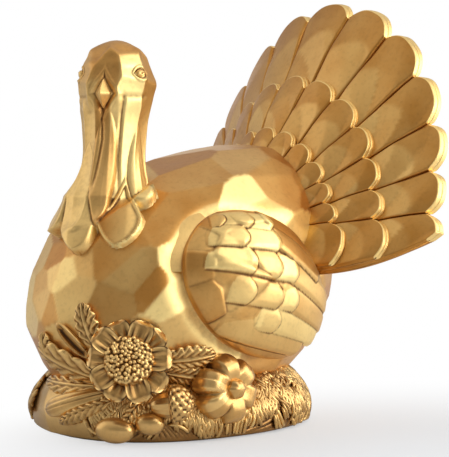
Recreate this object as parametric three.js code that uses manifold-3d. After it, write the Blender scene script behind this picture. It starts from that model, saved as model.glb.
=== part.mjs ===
// Thanksgiving turkey figure: a gold, chisel-faceted bird on a straw mound, glued up from cast pieces.
// Millimetres, +Z up. The bird faces -Y and +X is its left side.
// The origin is the middle of the felt pad's underside, on which the figure stands.

import * as THREE from 'three';
import { ConvexHull } from 'three/addons/math/ConvexHull.js';
import { mergeVertices } from 'three/addons/utils/BufferGeometryUtils.js';
import Module from 'manifold-3d';

const wasm = await Module();
wasm.setup();

// Clearance between pieces that seat on each other
const GAP = 0.3;

// Felt pad
const PAD_THICKNESS = 1;
const PAD_INSET = 4.5;

// Straw mound, a rounded rectangle in plan that bellies out above its foot
const MOUND_HALF_WIDTH = 68;
const MOUND_HALF_LENGTH = 79;
const MOUND_SQUARENESS = 2.3;
const MOUND_HEIGHT = 31;
const MOUND_BELLY_Z = 9;
const MOUND_FOOT_INSET = 1.2;
const MOUND_TOP_INSET = 14;
const STRAW_LOCKS = 36;
const STRAW_RELIEF = 2;
const STRAW_TIERS = 7;
const STRAW_SLANT = 1.5;
const STRAW_BARE_BEARING = 2;
const STRAW_BARE_HALF = 22;
const STRAW_BARE_BLEND = 14;

// Body, a hollow egg of flat chisel facets with its rear pitched up
const BODY_CENTRE_Y = -5.5;
const BODY_CENTRE_Z = 79.5;
const BODY_PITCH = 28;
const BODY_HALF_WIDTH = 70;
const BODY_FRONT = 82;
const BODY_REAR = 117;
const BODY_TOP = 61;
const BODY_UNDER = 88.5;
const BODY_WALL = 9;
const BODY_FOOT_Z = 24;
const BODY_FACETS = 170;
const HOLLOW_FACETS = 90;
const CHISEL_DEPTH = 0.6;
const CHISEL_WANDER = 0.06;

// Pour opening in the body's floor and the boss on the mound that fits in it
const POUR_HALF_WIDTH = 24;
const POUR_HALF_LENGTH = 32;
const BOSS_HEIGHT = 6;

// Neck and head, turned to the bird's left
const NECK_FOOT_Y = -41.5;
const NECK_RADIUS = 18.2;
const NECK_FLARE = 6;
const NECK_WAIST_Z = 168;
const HEAD_Y = -35.5;
const HEAD_Z = 188;
const HEAD_RADIUS = 20.4;
const HEAD_TOP_Z = 215.5;
const HEAD_TURN = 39;
const SPIGOT_RADIUS = 10;
const SPIGOT_DEPTH = 9;

// Beak and eyes
const BEAK_HALF_WIDTH = 4.8;
const BEAK_HALF_HEIGHT = 9.2;
const BEAK_PROUD = 7;
const EYE_HALF_WIDTH = 3;
const EYE_HALF_HEIGHT = 2.2;
const EYE_PROUD = 1.6;
const EYE_RISE = 8;
const EYE_SPREAD = 62;

// Wattle lappets
const WATTLE_THICKNESS = 5.5;

// Wings
const WING_Y = 13;
const WING_Z = 84;
const WING_FRONT = 53;
const WING_REAR = 68;
const WING_HALF_HEIGHT = 41;
const WING_DROOP = 33;
const WING_PROUD = 10;
const WING_EDGE = 4;
const COVERT_LENGTH = 19;
const COVERT_HALF_WIDTH = 6.6;
const COVERT_LIFT = 2.6;
const COVERT_ROWS = 5;
const COVERT_COLUMNS = 4;
const COVERT_STEP = 0.82;
const COVERT_ROW_STEP = 1.7;
const COVERT_FRONT_SHARE = 0.45;
const COVERT_TOP_SHARE = 0.6;
const COVERT_REACH = 0.9;
const PRIMARY_LENGTH = 46;
const PRIMARY_HALF_WIDTH = 6;
const PRIMARIES = 4;
const PRIMARY_TOP_SHARE = 0.25;
const PRIMARY_STEP = 1.5;
const PEG_RADIUS = 5;
const PEG_DEPTH = 6;

// Tail fan: three overlapping rows on one swept-back cone
const TAIL_APEX_Y = 40.3;
const TAIL_APEX_Z = 98.5;
const TAIL_ROOT = 46;
const TAIL_LENGTH = 164.5;
const TAIL_SHOULDER = 68;
const TAIL_FLANK = 38.5;
const TAIL_LEAN_TOP = 27.6;
const TAIL_LEAN_SIDE = 18;
const TAIL_SIDE_FEATHERS = 6;
const TAIL_SEAT = 4;
const FEATHER_STEP = 16.2;
const FEATHER_CROWDING = 0.062;
const FEATHER_NOTCH = 0.05;
const FEATHER_ROUND_FROM = 0.92;
const FEATHER_EDGE_ROUND = 0.25;
const HEM_AT_ROOT = 17;
const HEM_AT_TIP = -4;
const OUTER_THICKNESS = 5.6;
const MIDDLE_THICKNESS = 4;
const MIDDLE_SHARE = 0.68;
const MIDDLE_SHARE_RISE = 0.1;
const COLLAR_THICKNESS = 3.4;
const COLLAR_SHARE = 0.455;
const COLLAR_SHARE_RISE = 0.14;

// Sunflower: bearings run from the bird's front towards its left
const FLOWER_BEARING = 41;
const FLOWER_Z = 45.5;
const FLOWER_FACES = 50;
const FLOWER_TIP = 18;
const PETALS = 10;
const PETAL_REACH = 23;
const PETAL_HALF_WIDTH = 7.4;
const PETAL_THICKNESS = 2.2;
const PETAL_FULLEST = 0.68;
const PETAL_CURL = 3;
const PETAL_CUP = 0.04;
const FLOWER_PROUD = 14;
const SEED_DISC_RADIUS = 13.4;
const SEED_DISC_HEIGHT = 5;

// Pumpkin, lying with its stem end to the front
const PUMPKIN_BEARING = 82.5;
const PUMPKIN_Z = 27;
const PUMPKIN_FACES = 86;
const PUMPKIN_TIP = 5;
const PUMPKIN_CREASE = 0.16;
const PUMPKIN_DIMPLE = 0.35;
const PUMPKIN_RADIUS = 19.5;
const PUMPKIN_HALF_HEIGHT = 13;
const PUMPKIN_LOBES = 6;
const PUMPKIN_PROUD = 7;
const STEM_RADIUS = 3.2;
const STEM_LENGTH = 5;

// Acorn and loose nuts
const ACORN_BEARING = 57.5;
const ACORN_Z = 21.5;
const ACORN_TIP = 6;
const ACORN_RADIUS = 7.6;
const ACORN_LENGTH = 12;
const CUP_RADIUS = 9.6;
const CUP_LENGTH = 11;
const NUT_PROUD = 1;
const LONG_NUT_BEARING = 35;
const LONG_NUT_Z = 7.4;
const LONG_NUT_HALF_LENGTH = 10.5;
const LONG_NUT_RADIUS = 6.2;
const ROUND_NUT_BEARING = 48.3;
const ROUND_NUT_Z = 10.8;
const ROUND_NUT_HALF_LENGTH = 7.6;
const ROUND_NUT_RADIUS = 5.4;

// Leaves, husk and ear
const LEAF_RISE = 1;
const LEAF_THICKNESS = 2.4;
const SERRATION = 0.22;
const EAR_BEADING = 0.2;
const HUSK_THICKNESS = 5;
const EAR_THICKNESS = 4.5;

// Fineness of welds and of slopes taken over a short step
const WELD = 1e-4;
const FAN_STEP = 0.01;
const TRAIL_STEP = 0.05;
const GROUND_STEP = 3;
const GOLDEN_ANGLE = Math.PI * (3 - Math.sqrt(5));
const { degToRad, lerp, clamp, smoothstep } = THREE.MathUtils;

const vec = (x, y, z) => new THREE.Vector3(x, y, z);
const compass = (azimuth) => vec(Math.sin(degToRad(azimuth)), -Math.cos(degToRad(azimuth)), 0);
const steps = (count) => Array.from({ length: count + 1 }, (_, i) => i / count);

// A repeatable uneven hand: a number from -1 to 1 for each facet and use
function chisel(index, use) {
  const wave = Math.sin(index * 12.9898 + use * 78.233) * 43758.5453;
  return 2 * (wave - Math.floor(wave)) - 1;
}

// Solids and how they are joined and cut

function signedVolume(points, triangles) {
  let volume = 0;
  for (let i = 0; i < triangles.length; i += 3) {
    const [a, b, c] = [0, 1, 2].map((k) => vec().fromArray(points, 3 * triangles[i + k]));
    volume += a.dot(b.cross(c)) / 6;
  }
  return volume;
}

function toSolid(geometry) {
  const bare = new THREE.BufferGeometry();
  bare.setAttribute('position', geometry.getAttribute('position'));
  bare.setIndex(geometry.getIndex());
  const welded = mergeVertices(bare, WELD);
  const points = welded.getAttribute('position').array;
  const index = welded.getIndex().array;
  const kept = [];
  for (let i = 0; i < index.length; i += 3) {
    const [a, b, c] = index.slice(i, i + 3);
    if (a !== b && b !== c && c !== a) kept.push(a, b, c);
  }
  if (signedVolume(points, kept) < 0) kept.reverse();
  const mesh = { numProp: 3, vertProperties: new Float32Array(points), triVerts: new Uint32Array(kept) };
  return new wasm.Manifold(new wasm.Mesh(mesh));
}

function toGeometry(solid) {
  const { vertProperties, triVerts } = solid.getMesh();
  const geometry = new THREE.BufferGeometry();
  geometry.setAttribute('position', new THREE.BufferAttribute(vertProperties.slice(), 3));
  geometry.setIndex(new THREE.BufferAttribute(triVerts.slice(), 1));
  return geometry;
}

const join = (solids) => solids.reduce((whole, solid) => whole.add(solid));

function largest(solid) {
  const bodies = solid.decompose();
  return bodies.reduce((best, body) => (body.volume() > best.volume() ? body : best));
}

// Rings of points carried into a closed skin, with a ladder of faces across each end ring
function loft(rings) {
  const count = rings[0].length;
  const last = (rings.length - 1) * count;
  const index = [];
  for (let j = 0; j < rings.length - 1; j++) {
    for (let i = 0; i < count; i++) {
      const a = j * count + i;
      const b = j * count + ((i + 1) % count);
      index.push(a, b, b + count, a, b + count, a + count);
    }
  }
  for (let i = 0; i + 1 < count / 2; i++) {
    const far = count - 1 - i;
    index.push(i, far, far - 1, i, far - 1, i + 1);
    index.push(last + i, last + i + 1, last + far - 1, last + i, last + far - 1, last + far);
  }
  const geometry = new THREE.BufferGeometry().setFromPoints(rings.flat());
  geometry.setIndex(index);
  return toSolid(geometry);
}

// One ring of evenly turned points
function ring(count, point) {
  return Array.from({ length: count }, (_, i) => point((2 * Math.PI * (i + 0.5)) / count));
}

// A blob of revolution-like rings between two poles: point(turn, v) with v running pole to pole
function blob(sides, rows, point) {
  return loft(steps(rows).map((t) => ring(sides, (turn) => point(turn, (1 - Math.cos(Math.PI * t)) / 2))));
}

function cylinder(radius, from, to, sides = 20) {
  const geometry = new THREE.CylinderGeometry(radius, radius, from.distanceTo(to), sides);
  const turn = new THREE.Quaternion().setFromUnitVectors(vec(0, 1, 0), to.clone().sub(from).normalize());
  const middle = from.clone().add(to).multiplyScalar(0.5);
  return toSolid(geometry.applyQuaternion(turn).translate(middle.x, middle.y, middle.z));
}

// The egg that the body follows, and where a line from inside leaves it

const eggFrame = new THREE.Matrix4().makeRotationX(degToRad(BODY_PITCH));
eggFrame.setPosition(0, BODY_CENTRE_Y, BODY_CENTRE_Z);
const eggInverse = eggFrame.clone().invert();

function eggAxes(p) {
  return vec(BODY_HALF_WIDTH, p.y < 0 ? BODY_FRONT : BODY_REAR, p.z > 0 ? BODY_TOP : BODY_UNDER);
}

function eggReach(point) {
  const p = point.clone().applyMatrix4(eggInverse);
  return p.divide(eggAxes(p)).length();
}

function eggNormal(point) {
  const p = point.clone().applyMatrix4(eggInverse);
  const axes = eggAxes(p);
  return p.divide(axes).divide(axes).transformDirection(eggFrame);
}

function eggExit(from, direction) {
  let near = 0;
  let far = 2 * (BODY_FRONT + BODY_REAR);
  if (eggReach(from) >= 1) return 0;
  for (let i = 0; i < 40; i++) {
    const middle = (near + far) / 2;
    if (eggReach(from.clone().addScaledVector(direction, middle)) < 1) near = middle;
    else far = middle;
  }
  return near;
}

// Body facets: planes that touch the egg, spread evenly and knocked about by the chisel

function facetPlane(index, facets, grow) {
  const z = 1 - (2 * index + 1) / facets;
  const turn = index * GOLDEN_ANGLE;
  const normal = vec(Math.cos(turn), Math.sin(turn), 0).multiplyScalar(Math.sqrt(1 - z * z)).setZ(z);
  const wander = vec(chisel(index, 1), chisel(index, 2), chisel(index, 3)).multiplyScalar(CHISEL_WANDER);
  normal.add(wander).normalize();
  const touch = normal.clone().multiply(eggAxes(normal)).length();
  return { normal, distance: touch + CHISEL_DEPTH * chisel(index, 4) + grow };
}

// The corner where planes meet is the dual of a hull face over the points normal / distance
function facetedEgg(grow, facets = BODY_FACETS) {
  const planes = Array.from({ length: facets }, (_, i) => facetPlane(i, facets, grow));
  const duals = planes.map(({ normal, distance }) => normal.clone().divideScalar(distance));
  const cornersOf = new Map(duals.map((dual) => [dual, []]));
  for (const face of new ConvexHull().setFromPoints(duals).faces) {
    const corner = face.normal.clone().divideScalar(face.constant);
    let edge = face.edge;
    do {
      cornersOf.get(edge.head().point).push(corner);
      edge = edge.next;
    } while (edge !== face.edge);
  }
  const positions = [];
  planes.forEach(({ normal }, i) => {
    const corners = cornersOf.get(duals[i]);
    if (corners.length < 3) return;
    const middle = corners.reduce((sum, c) => sum.add(c), vec(0, 0, 0)).divideScalar(corners.length);
    const across = corners[0].clone().sub(middle).projectOnPlane(normal).normalize();
    const up = normal.clone().cross(across);
    const turnOf = (c) => Math.atan2(c.clone().sub(middle).dot(up), c.clone().sub(middle).dot(across));
    const sorted = [...corners].sort((a, b) => turnOf(a) - turnOf(b));
    for (let k = 1; k + 1 < sorted.length; k++) {
      positions.push(...sorted[0].toArray(), ...sorted[k].toArray(), ...sorted[k + 1].toArray());
    }
  });
  const geometry = new THREE.BufferGeometry();
  geometry.setAttribute('position', new THREE.BufferAttribute(new Float32Array(positions), 3));
  return toSolid(geometry.applyMatrix4(eggFrame));
}

// Everything below a level, as a block to cut with
function groundBelow(z) {
  const side = 2 * (BODY_FRONT + BODY_REAR);
  const deep = BODY_CENTRE_Z + BODY_UNDER;
  return toSolid(new THREE.BoxGeometry(side, side, deep).translate(0, BODY_CENTRE_Y, z - deep / 2));
}

// An upright plug of the pour opening's outline
function pourPlug(inset, bottom, top) {
  const geometry = new THREE.CylinderGeometry(1, 1, top - bottom, 40).rotateX(Math.PI / 2);
  geometry.scale(POUR_HALF_WIDTH - inset, POUR_HALF_LENGTH - inset, 1);
  return toSolid(geometry.translate(0, BODY_CENTRE_Y, (top + bottom) / 2));
}

// Mound outline and slope

function outlineRadius(azimuth) {
  const across = Math.abs(Math.sin(degToRad(azimuth))) / MOUND_HALF_WIDTH;
  const along = Math.abs(Math.cos(degToRad(azimuth))) / MOUND_HALF_LENGTH;
  return (across ** MOUND_SQUARENESS + along ** MOUND_SQUARENESS) ** (-1 / MOUND_SQUARENESS);
}

function moundRadius(azimuth, z) {
  if (z > MOUND_HEIGHT) return 0;
  const up = clamp((z - MOUND_BELLY_Z) / (MOUND_HEIGHT - MOUND_BELLY_Z), 0, 1);
  const down = clamp((MOUND_BELLY_Z - z) / (MOUND_BELLY_Z - PAD_THICKNESS), 0, 1);
  return outlineRadius(azimuth) - MOUND_TOP_INSET * up ** 2 - MOUND_FOOT_INSET * down ** 2;
}

function feltPad() {
  const outline = ring(48, (turn) => {
    const radius = outlineRadius(90 + THREE.MathUtils.radToDeg(turn)) - PAD_INSET;
    return vec(radius * Math.cos(turn), radius * Math.sin(turn), 0);
  });
  return loft([0, PAD_THICKNESS].map((z) => outline.map((p) => p.clone().setZ(z))));
}

// Height of the slanting straw locks, which leave a bare rim under the leaves at the front
function strawLock(turn, t) {
  const bearing = 90 + THREE.MathUtils.radToDeg(turn);
  const off = Math.abs(THREE.MathUtils.euclideanModulo(bearing - STRAW_BARE_BEARING + 180, 360) - 180);
  const cover = clamp((off - STRAW_BARE_HALF) / STRAW_BARE_BLEND, 0, 1);
  const lock = 0.5 + 0.5 * Math.sin(STRAW_LOCKS * turn + 2 * Math.PI * STRAW_SLANT * t);
  return STRAW_RELIEF * cover * lock * Math.sqrt(Math.sin(Math.PI * t));
}

function moundHeap() {
  const rise = MOUND_HEIGHT - PAD_THICKNESS;
  return loft(
    steps(STRAW_TIERS).map((t) => {
      const z = PAD_THICKNESS + rise * t;
      return ring(3 * STRAW_LOCKS, (turn) => {
        const radius = moundRadius(90 + THREE.MathUtils.radToDeg(turn), z) + strawLock(turn, t);
        return vec(radius * Math.cos(turn), radius * Math.sin(turn), z);
      });
    }),
  );
}

// Neck and head: one upright form on an axis that leans from the chest to the head

const neckSeatZ = (() => {
  const inside = vec(0, NECK_FOOT_Y, BODY_CENTRE_Z);
  return BODY_CENTRE_Z + eggExit(inside, vec(0, 0, 1));
})();

function neckRadius(z) {
  if (z > HEAD_Z) {
    const rise = clamp((z - HEAD_Z) / (HEAD_TOP_Z - HEAD_Z), 0, 1);
    return HEAD_RADIUS * Math.sqrt(1 - rise ** 2);
  }
  const flare = clamp((NECK_WAIST_Z - z) / (NECK_WAIST_Z - neckSeatZ), 0, 1);
  return lerp(NECK_RADIUS, HEAD_RADIUS, smoothstep(z, NECK_WAIST_Z, HEAD_Z)) + NECK_FLARE * flare ** 3;
}

function neckAxis(z) {
  return vec(0, lerp(NECK_FOOT_Y, HEAD_Y, clamp((z - neckSeatZ) / (HEAD_Z - neckSeatZ), 0, 1)), z);
}

function neckForm(grow) {
  const bottom = neckSeatZ - 2 * SPIGOT_DEPTH;
  const rise = HEAD_TOP_Z - bottom;
  return loft(
    steps(16).map((t) => {
      const z = bottom + rise * Math.sin((Math.PI / 2) * t);
      const axis = neckAxis(z);
      axis.z += grow * (2 * t - 1);
      return ring(14, (turn) => {
        const knock = CHISEL_DEPTH * chisel(Math.round(20 * turn), Math.round(8 * t));
        const radius = Math.max(0, neckRadius(z) + knock * Math.sin(Math.PI * t) + grow);
        return vec(radius * Math.cos(turn), radius * Math.sin(turn), 0).add(axis);
      });
    }),
  );
}

function neckSpigot(grow) {
  const top = vec(0, NECK_FOOT_Y, neckSeatZ + SPIGOT_RADIUS);
  return cylinder(SPIGOT_RADIUS + grow, vec(0, NECK_FOOT_Y, neckSeatZ - SPIGOT_DEPTH - grow), top);
}

// A unit form pressed onto the head at a turn from the beak and a height
function onHead(geometry, turnFromBeak, z, scale) {
  const azimuth = HEAD_TURN + turnFromBeak;
  const place = neckAxis(z).addScaledVector(compass(azimuth), neckRadius(z));
  return toSolid(geometry.scale(...scale).rotateZ(degToRad(azimuth)).translate(...place.toArray()));
}

function beak(grow) {
  const scale = [BEAK_HALF_WIDTH + grow, BEAK_PROUD + grow, BEAK_HALF_HEIGHT + grow];
  return onHead(new THREE.OctahedronGeometry(1), 0, HEAD_Z, scale);
}

function eye(side, grow) {
  const scale = [EYE_HALF_WIDTH + grow, EYE_PROUD + grow, EYE_HALF_HEIGHT + grow];
  return onHead(new THREE.SphereGeometry(1, 10, 6), side * EYE_SPREAD, HEAD_Z + EYE_RISE, scale);
}

// Ground to creep over: the neck and chest round the neck's axis, the flank and mound round the stand's

function chestPoint(azimuth, z) {
  const axis = neckAxis(z);
  const out = compass(azimuth);
  return axis.clone().addScaledVector(out, Math.max(neckRadius(z), eggExit(axis, out)));
}

function flankPoint(azimuth, z) {
  const axis = vec(0, 0, z);
  const out = compass(azimuth);
  return axis.clone().addScaledVector(out, Math.max(moundRadius(azimuth, z), eggExit(axis, out)));
}

function groundNormal(ground, azimuth, z) {
  const around = ground(azimuth + GROUND_STEP, z).sub(ground(azimuth - GROUND_STEP, z));
  const upward = ground(azimuth, z + GROUND_STEP).sub(ground(azimuth, z - GROUND_STEP));
  return around.cross(upward).normalize();
}

// How full a lens-shaped piece is along its length, widest at one place
function fullness(v, fullest) {
  const share = v < fullest ? (fullest - v) / fullest : (v - fullest) / (1 - fullest);
  return Math.sqrt(Math.max(0, 1 - share ** 2));
}

// A piece that creeps over the ground from root to tip, each given as [azimuth, height]
function creeper(shape, grow) {
  const { ground, root, tip, halfWidth, thickness, fullest, rise = 0, lift = 0, edge = () => 1 } = shape;
  const { rows = 10, sides = 8, spacing = (t) => (1 - Math.cos(Math.PI * t)) / 2 } = shape;
  const along = (v) => [lerp(root[0], tip[0], v), lerp(root[1], tip[1], v)];
  return loft(
    steps(rows).map((t) => {
      const v = spacing(t);
      const ahead = ground(...along(v + TRAIL_STEP));
      const heading = ahead.sub(ground(...along(v - TRAIL_STEP))).normalize();
      const out = groundNormal(ground, ...along(v));
      const side = heading.clone().cross(out).normalize();
      const middle = ground(...along(v)).addScaledVector(heading, grow * (2 * v - 1));
      middle.addScaledVector(out, rise + lift * v);
      const full = fullness(v, fullest);
      return ring(sides, (turn) => {
        const wide = (halfWidth * full * edge(v) + grow) * Math.cos(turn);
        const high = (thickness * full + grow) * Math.sin(turn);
        return middle.clone().addScaledVector(side, wide).addScaledVector(out, high);
      });
    }),
  );
}

// Tail fan: the ray, length and facing of the feather numbered k from the middle

const fanTurn = (k) => degToRad(FEATHER_STEP * k - FEATHER_CROWDING * k ** 3);

function fanRay(turn) {
  const lean = degToRad(TAIL_LEAN_SIDE * Math.sin(turn) ** 2 + TAIL_LEAN_TOP * Math.cos(turn));
  return vec(Math.sin(turn) * Math.cos(lean), Math.sin(lean), Math.cos(turn) * Math.cos(lean));
}

function fanLength(k) {
  const share = (k / TAIL_SIDE_FEATHERS) ** 2;
  return TAIL_LENGTH - TAIL_SHOULDER * share + TAIL_FLANK * share ** 2;
}

const fanAcross = (turn) => fanRay(turn + FAN_STEP).sub(fanRay(turn - FAN_STEP)).normalize();

// The lowest feathers spread further down at the root and less at the tip than the rest
function hemmedTurn(k, distance) {
  const spare = Math.max(0, Math.abs(k) - TAIL_SIDE_FEATHERS);
  const out = (distance - TAIL_ROOT) / (fanLength(k) - TAIL_ROOT);
  return fanTurn(k) + Math.sign(k) * 2 * spare * degToRad(lerp(HEM_AT_ROOT, HEM_AT_TIP, out));
}

function fanPoint(k, distance, depth, sideways) {
  const turn = hemmedTurn(k, distance);
  const across = fanAcross(turn);
  const facing = across.clone().cross(fanRay(turn));
  const place = vec(0, TAIL_APEX_Y, TAIL_APEX_Z).addScaledVector(fanRay(turn), distance);
  return place.addScaledVector(facing, depth).addScaledVector(across, sideways);
}

// Rows from rear to front: share of the full length, and the depths of the back and front faces
const outerRow = { share: 1, rise: 0, back: -OUTER_THICKNESS, front: 0 };
const middleRow = {
  share: MIDDLE_SHARE,
  rise: MIDDLE_SHARE_RISE,
  back: GAP,
  front: GAP + MIDDLE_THICKNESS,
};
const collarBack = middleRow.front + GAP;
const collarRow = {
  share: COLLAR_SHARE,
  rise: COLLAR_SHARE_RISE,
  back: collarBack,
  front: collarBack + COLLAR_THICKNESS,
};

function tipDistance(row, k) {
  const fromMiddle = Math.abs(2 * (k - Math.round(k)));
  const share = row.share + row.rise * (k / TAIL_SIDE_FEATHERS) ** 2;
  return share * fanLength(k) * (1 - FEATHER_NOTCH * fromMiddle ** 3);
}

// A run of the fan between two feather numbers, with round-edged tips
function fanSheet(row, from, to, columns, grow) {
  const thick = row.front - row.back;
  const across = steps(columns).map((t) => lerp(from, to, t));
  return loft(
    [0, FEATHER_ROUND_FROM, 1].map((v) => {
      const round = v === 1 ? FEATHER_EDGE_ROUND : 0;
      const point = (k, depth) => {
        const reach = tipDistance(row, clamp(k, from + 1e-3, to - 1e-3)) + grow;
        const distance = lerp(TAIL_ROOT - grow, reach, v);
        const share = (2 * (k - from)) / (to - from) - 1;
        return fanPoint(k, distance, depth, share * (grow - GAP / 2));
      };
      const front = across.map((k) => point(k, row.front - thick * round + grow));
      const back = across.map((k) => point(k, row.back + thick * round - grow));
      return [...front, ...back.reverse()];
    }),
  );
}

const tailNumbers = Array.from({ length: 2 * TAIL_SIDE_FEATHERS + 1 }, (_, i) => i - TAIL_SIDE_FEATHERS);
const tailFeather = (row, k, grow) => fanSheet(row, k - 0.5, k + 0.5, 6, grow);
const tailEdge = TAIL_SIDE_FEATHERS + 0.5;
const tailCollar = (grow) => fanSheet(collarRow, -tailEdge, tailEdge, 4 * tailNumbers.length, grow);

// The three rows' roots taken together, from the rear face of the outer to the front of the collar
function tailRoots(grow) {
  const rows = { ...collarRow, back: outerRow.back };
  return fanSheet(rows, -tailEdge, tailEdge, 2 * tailNumbers.length, grow);
}

// Wings: a raised pad on the flank, tiled with coverts and edged with long primaries

function wingPoint(side, rearward, upward, height) {
  const droop = degToRad(WING_DROOP);
  const y = WING_Y + rearward * Math.cos(droop) + upward * Math.sin(droop);
  const z = WING_Z - rearward * Math.sin(droop) + upward * Math.cos(droop);
  const centre = vec(0, BODY_CENTRE_Y, BODY_CENTRE_Z);
  const out = vec(side * BODY_HALF_WIDTH, y, z).sub(centre).normalize();
  const surface = centre.addScaledVector(out, eggExit(centre, out));
  return surface.addScaledVector(eggNormal(surface), height);
}

function wingSwell(rearward, upward) {
  const along = rearward / (rearward > 0 ? WING_REAR : WING_FRONT);
  const room = Math.max(0, 1 - along ** 2 - (upward / WING_HALF_HEIGHT) ** 2);
  return WING_EDGE + (WING_PROUD - WING_EDGE) * room ** 0.6;
}

function wingPad(side, grow) {
  const shell = (turn, share) => {
    const spread = share * Math.cos(turn) * (Math.cos(turn) > 0 ? WING_REAR : WING_FRONT);
    return [spread, share * Math.sin(turn) * WING_HALF_HEIGHT];
  };
  const under = (share) => ring(22, (turn) => wingPoint(side, ...shell(turn, share), -WING_EDGE));
  const over = (share) =>
    ring(22, (turn) => {
      const place = shell(turn, share);
      return wingPoint(side, ...place, wingSwell(...place) + grow);
    });
  const wide = 1 + grow / WING_HALF_HEIGHT;
  return loft([under(0), under(wide), over(wide), over(0.85), over(0.5), over(0)]);
}

// A tile on the wing that runs rearward from its root and lifts towards its round end
function wingTile(side, rearward, upward, length, halfWidth, sweep) {
  return loft(
    [0, 0.7, 1].map((v) => {
      const taper = v === 1 ? 0.5 : 1;
      const place = (s) => [rearward + length * v, upward + sweep * v + halfWidth * taper * s];
      const lift = COVERT_LIFT * v;
      const over = [-1, 0, 1].map((s) => {
        const [a, b] = place(s);
        return wingPoint(side, a, b, wingSwell(a, b) + lift * (1 - 0.3 * s * s));
      });
      const under = [1, 0, -1].map((s) => {
        const [a, b] = place(s);
        return wingPoint(side, a, b, wingSwell(a, b) - COVERT_LIFT);
      });
      return [...over, ...under];
    }),
  );
}

function wingFeathers(side) {
  const tiles = [];
  for (let row = 0; row < COVERT_ROWS; row++) {
    for (let column = 0; column < COVERT_COLUMNS; column++) {
      const stagger = 0.5 * (row % 2);
      const rearward = COVERT_STEP * COVERT_LENGTH * (column + stagger) - COVERT_FRONT_SHARE * WING_FRONT;
      const upward = COVERT_TOP_SHARE * WING_HALF_HEIGHT - COVERT_ROW_STEP * COVERT_HALF_WIDTH * row;
      const reach = Math.hypot((rearward + COVERT_LENGTH) / WING_REAR, upward / WING_HALF_HEIGHT);
      if (reach > COVERT_REACH) continue;
      tiles.push(wingTile(side, rearward, upward, COVERT_LENGTH, COVERT_HALF_WIDTH, 0));
    }
  }
  for (let i = 0; i < PRIMARIES; i++) {
    const upward = PRIMARY_TOP_SHARE * WING_HALF_HEIGHT - PRIMARY_STEP * PRIMARY_HALF_WIDTH * i;
    const rearward = WING_REAR - PRIMARY_LENGTH - PRIMARY_HALF_WIDTH * i;
    tiles.push(wingTile(side, rearward, upward, PRIMARY_LENGTH, PRIMARY_HALF_WIDTH, -PRIMARY_HALF_WIDTH));
  }
  return tiles;
}

function wingPeg(side, grow) {
  const surface = wingPoint(side, 0, 0, 0);
  const out = eggNormal(surface);
  const inner = surface.clone().addScaledVector(out, -PEG_DEPTH - grow);
  return cylinder(PEG_RADIUS + grow, inner, surface.addScaledVector(out, WING_PROUD / 2));
}

// Ornaments of the mound

// Axes of a piece that faces a compass bearing and is tipped up
function facing(azimuth, tip) {
  const out = compass(azimuth).multiplyScalar(Math.cos(degToRad(tip))).setZ(Math.sin(degToRad(tip)));
  const right = compass(azimuth + 90);
  return { out, right, up: out.clone().cross(right).negate() };
}

function at(centre, axes, right, up, out) {
  const place = centre.clone().addScaledVector(axes.right, right).addScaledVector(axes.up, up);
  return place.addScaledVector(axes.out, out);
}

const flower = {
  axes: facing(FLOWER_FACES, FLOWER_TIP),
  centre: flankPoint(FLOWER_BEARING, FLOWER_Z).addScaledVector(compass(FLOWER_FACES), FLOWER_PROUD),
};

function seedDisc(grow) {
  const { axes, centre } = flower;
  const radius = SEED_DISC_RADIUS + grow;
  return blob(20, 6, (turn, v) => {
    const round = Math.sin(Math.acos(1 - 2 * v));
    const rise = (v > 0.5 ? SEED_DISC_HEIGHT : PETAL_THICKNESS) * (2 * v - 1);
    const out = rise + grow * (2 * v - 1);
    return at(centre, axes, radius * round * Math.cos(turn), radius * round * Math.sin(turn), out);
  });
}

function petalRing(grow) {
  const { axes, centre } = flower;
  const bed = cylinder(SEED_DISC_RADIUS + grow, at(centre, axes, 0, 0, -4 * FLOWER_PROUD), centre, 24);
  const petals = Array.from({ length: PETALS }, (_, i) => {
    const bearing = (2 * Math.PI * i) / PETALS;
    const inner = 0.5 * SEED_DISC_RADIUS;
    return blob(8, 4, (turn, v) => {
      const reach = lerp(inner, PETAL_REACH + grow, v);
      const full = fullness(v, PETAL_FULLEST);
      const wide = (PETAL_HALF_WIDTH * full + grow) * Math.cos(turn);
      const cup = PETAL_CURL * (v - 0.3) ** 2 + PETAL_CUP * wide ** 2;
      const high = (PETAL_THICKNESS * full + grow) * Math.sin(turn) + cup - PETAL_THICKNESS;
      const right = reach * Math.cos(bearing) - wide * Math.sin(bearing);
      const up = reach * Math.sin(bearing) + wide * Math.cos(bearing);
      return at(centre, axes, right, up, high);
    });
  });
  return join([bed, ...petals]);
}

const gourd = {
  axes: facing(PUMPKIN_FACES, PUMPKIN_TIP),
  centre: flankPoint(PUMPKIN_BEARING, PUMPKIN_Z).addScaledVector(compass(PUMPKIN_BEARING), PUMPKIN_PROUD),
};

function pumpkin(grow) {
  const { axes, centre } = gourd;
  return blob(4 * PUMPKIN_LOBES, 8, (turn, v) => {
    const slope = Math.acos(1 - 2 * v);
    const lobe = 1 - PUMPKIN_CREASE * Math.abs(Math.cos((PUMPKIN_LOBES / 2) * turn)) ** 6;
    const radius = (PUMPKIN_RADIUS * lobe + grow) * Math.sin(slope) ** 0.8;
    const dimple = PUMPKIN_DIMPLE * PUMPKIN_HALF_HEIGHT * (1 - Math.sin(slope)) ** 2;
    const high = -(PUMPKIN_HALF_HEIGHT + grow - dimple) * Math.cos(slope);
    return at(centre, axes, radius * Math.cos(turn), radius * Math.sin(turn), high);
  });
}

function pumpkinStem(grow) {
  const { axes, centre } = gourd;
  const from = at(centre, axes, 0, 0, 0.5 * PUMPKIN_HALF_HEIGHT);
  const to = at(centre, axes, 0, 0, 0.65 * PUMPKIN_HALF_HEIGHT + STEM_LENGTH + grow);
  return cylinder(STEM_RADIUS + grow, from, to, 6);
}

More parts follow.
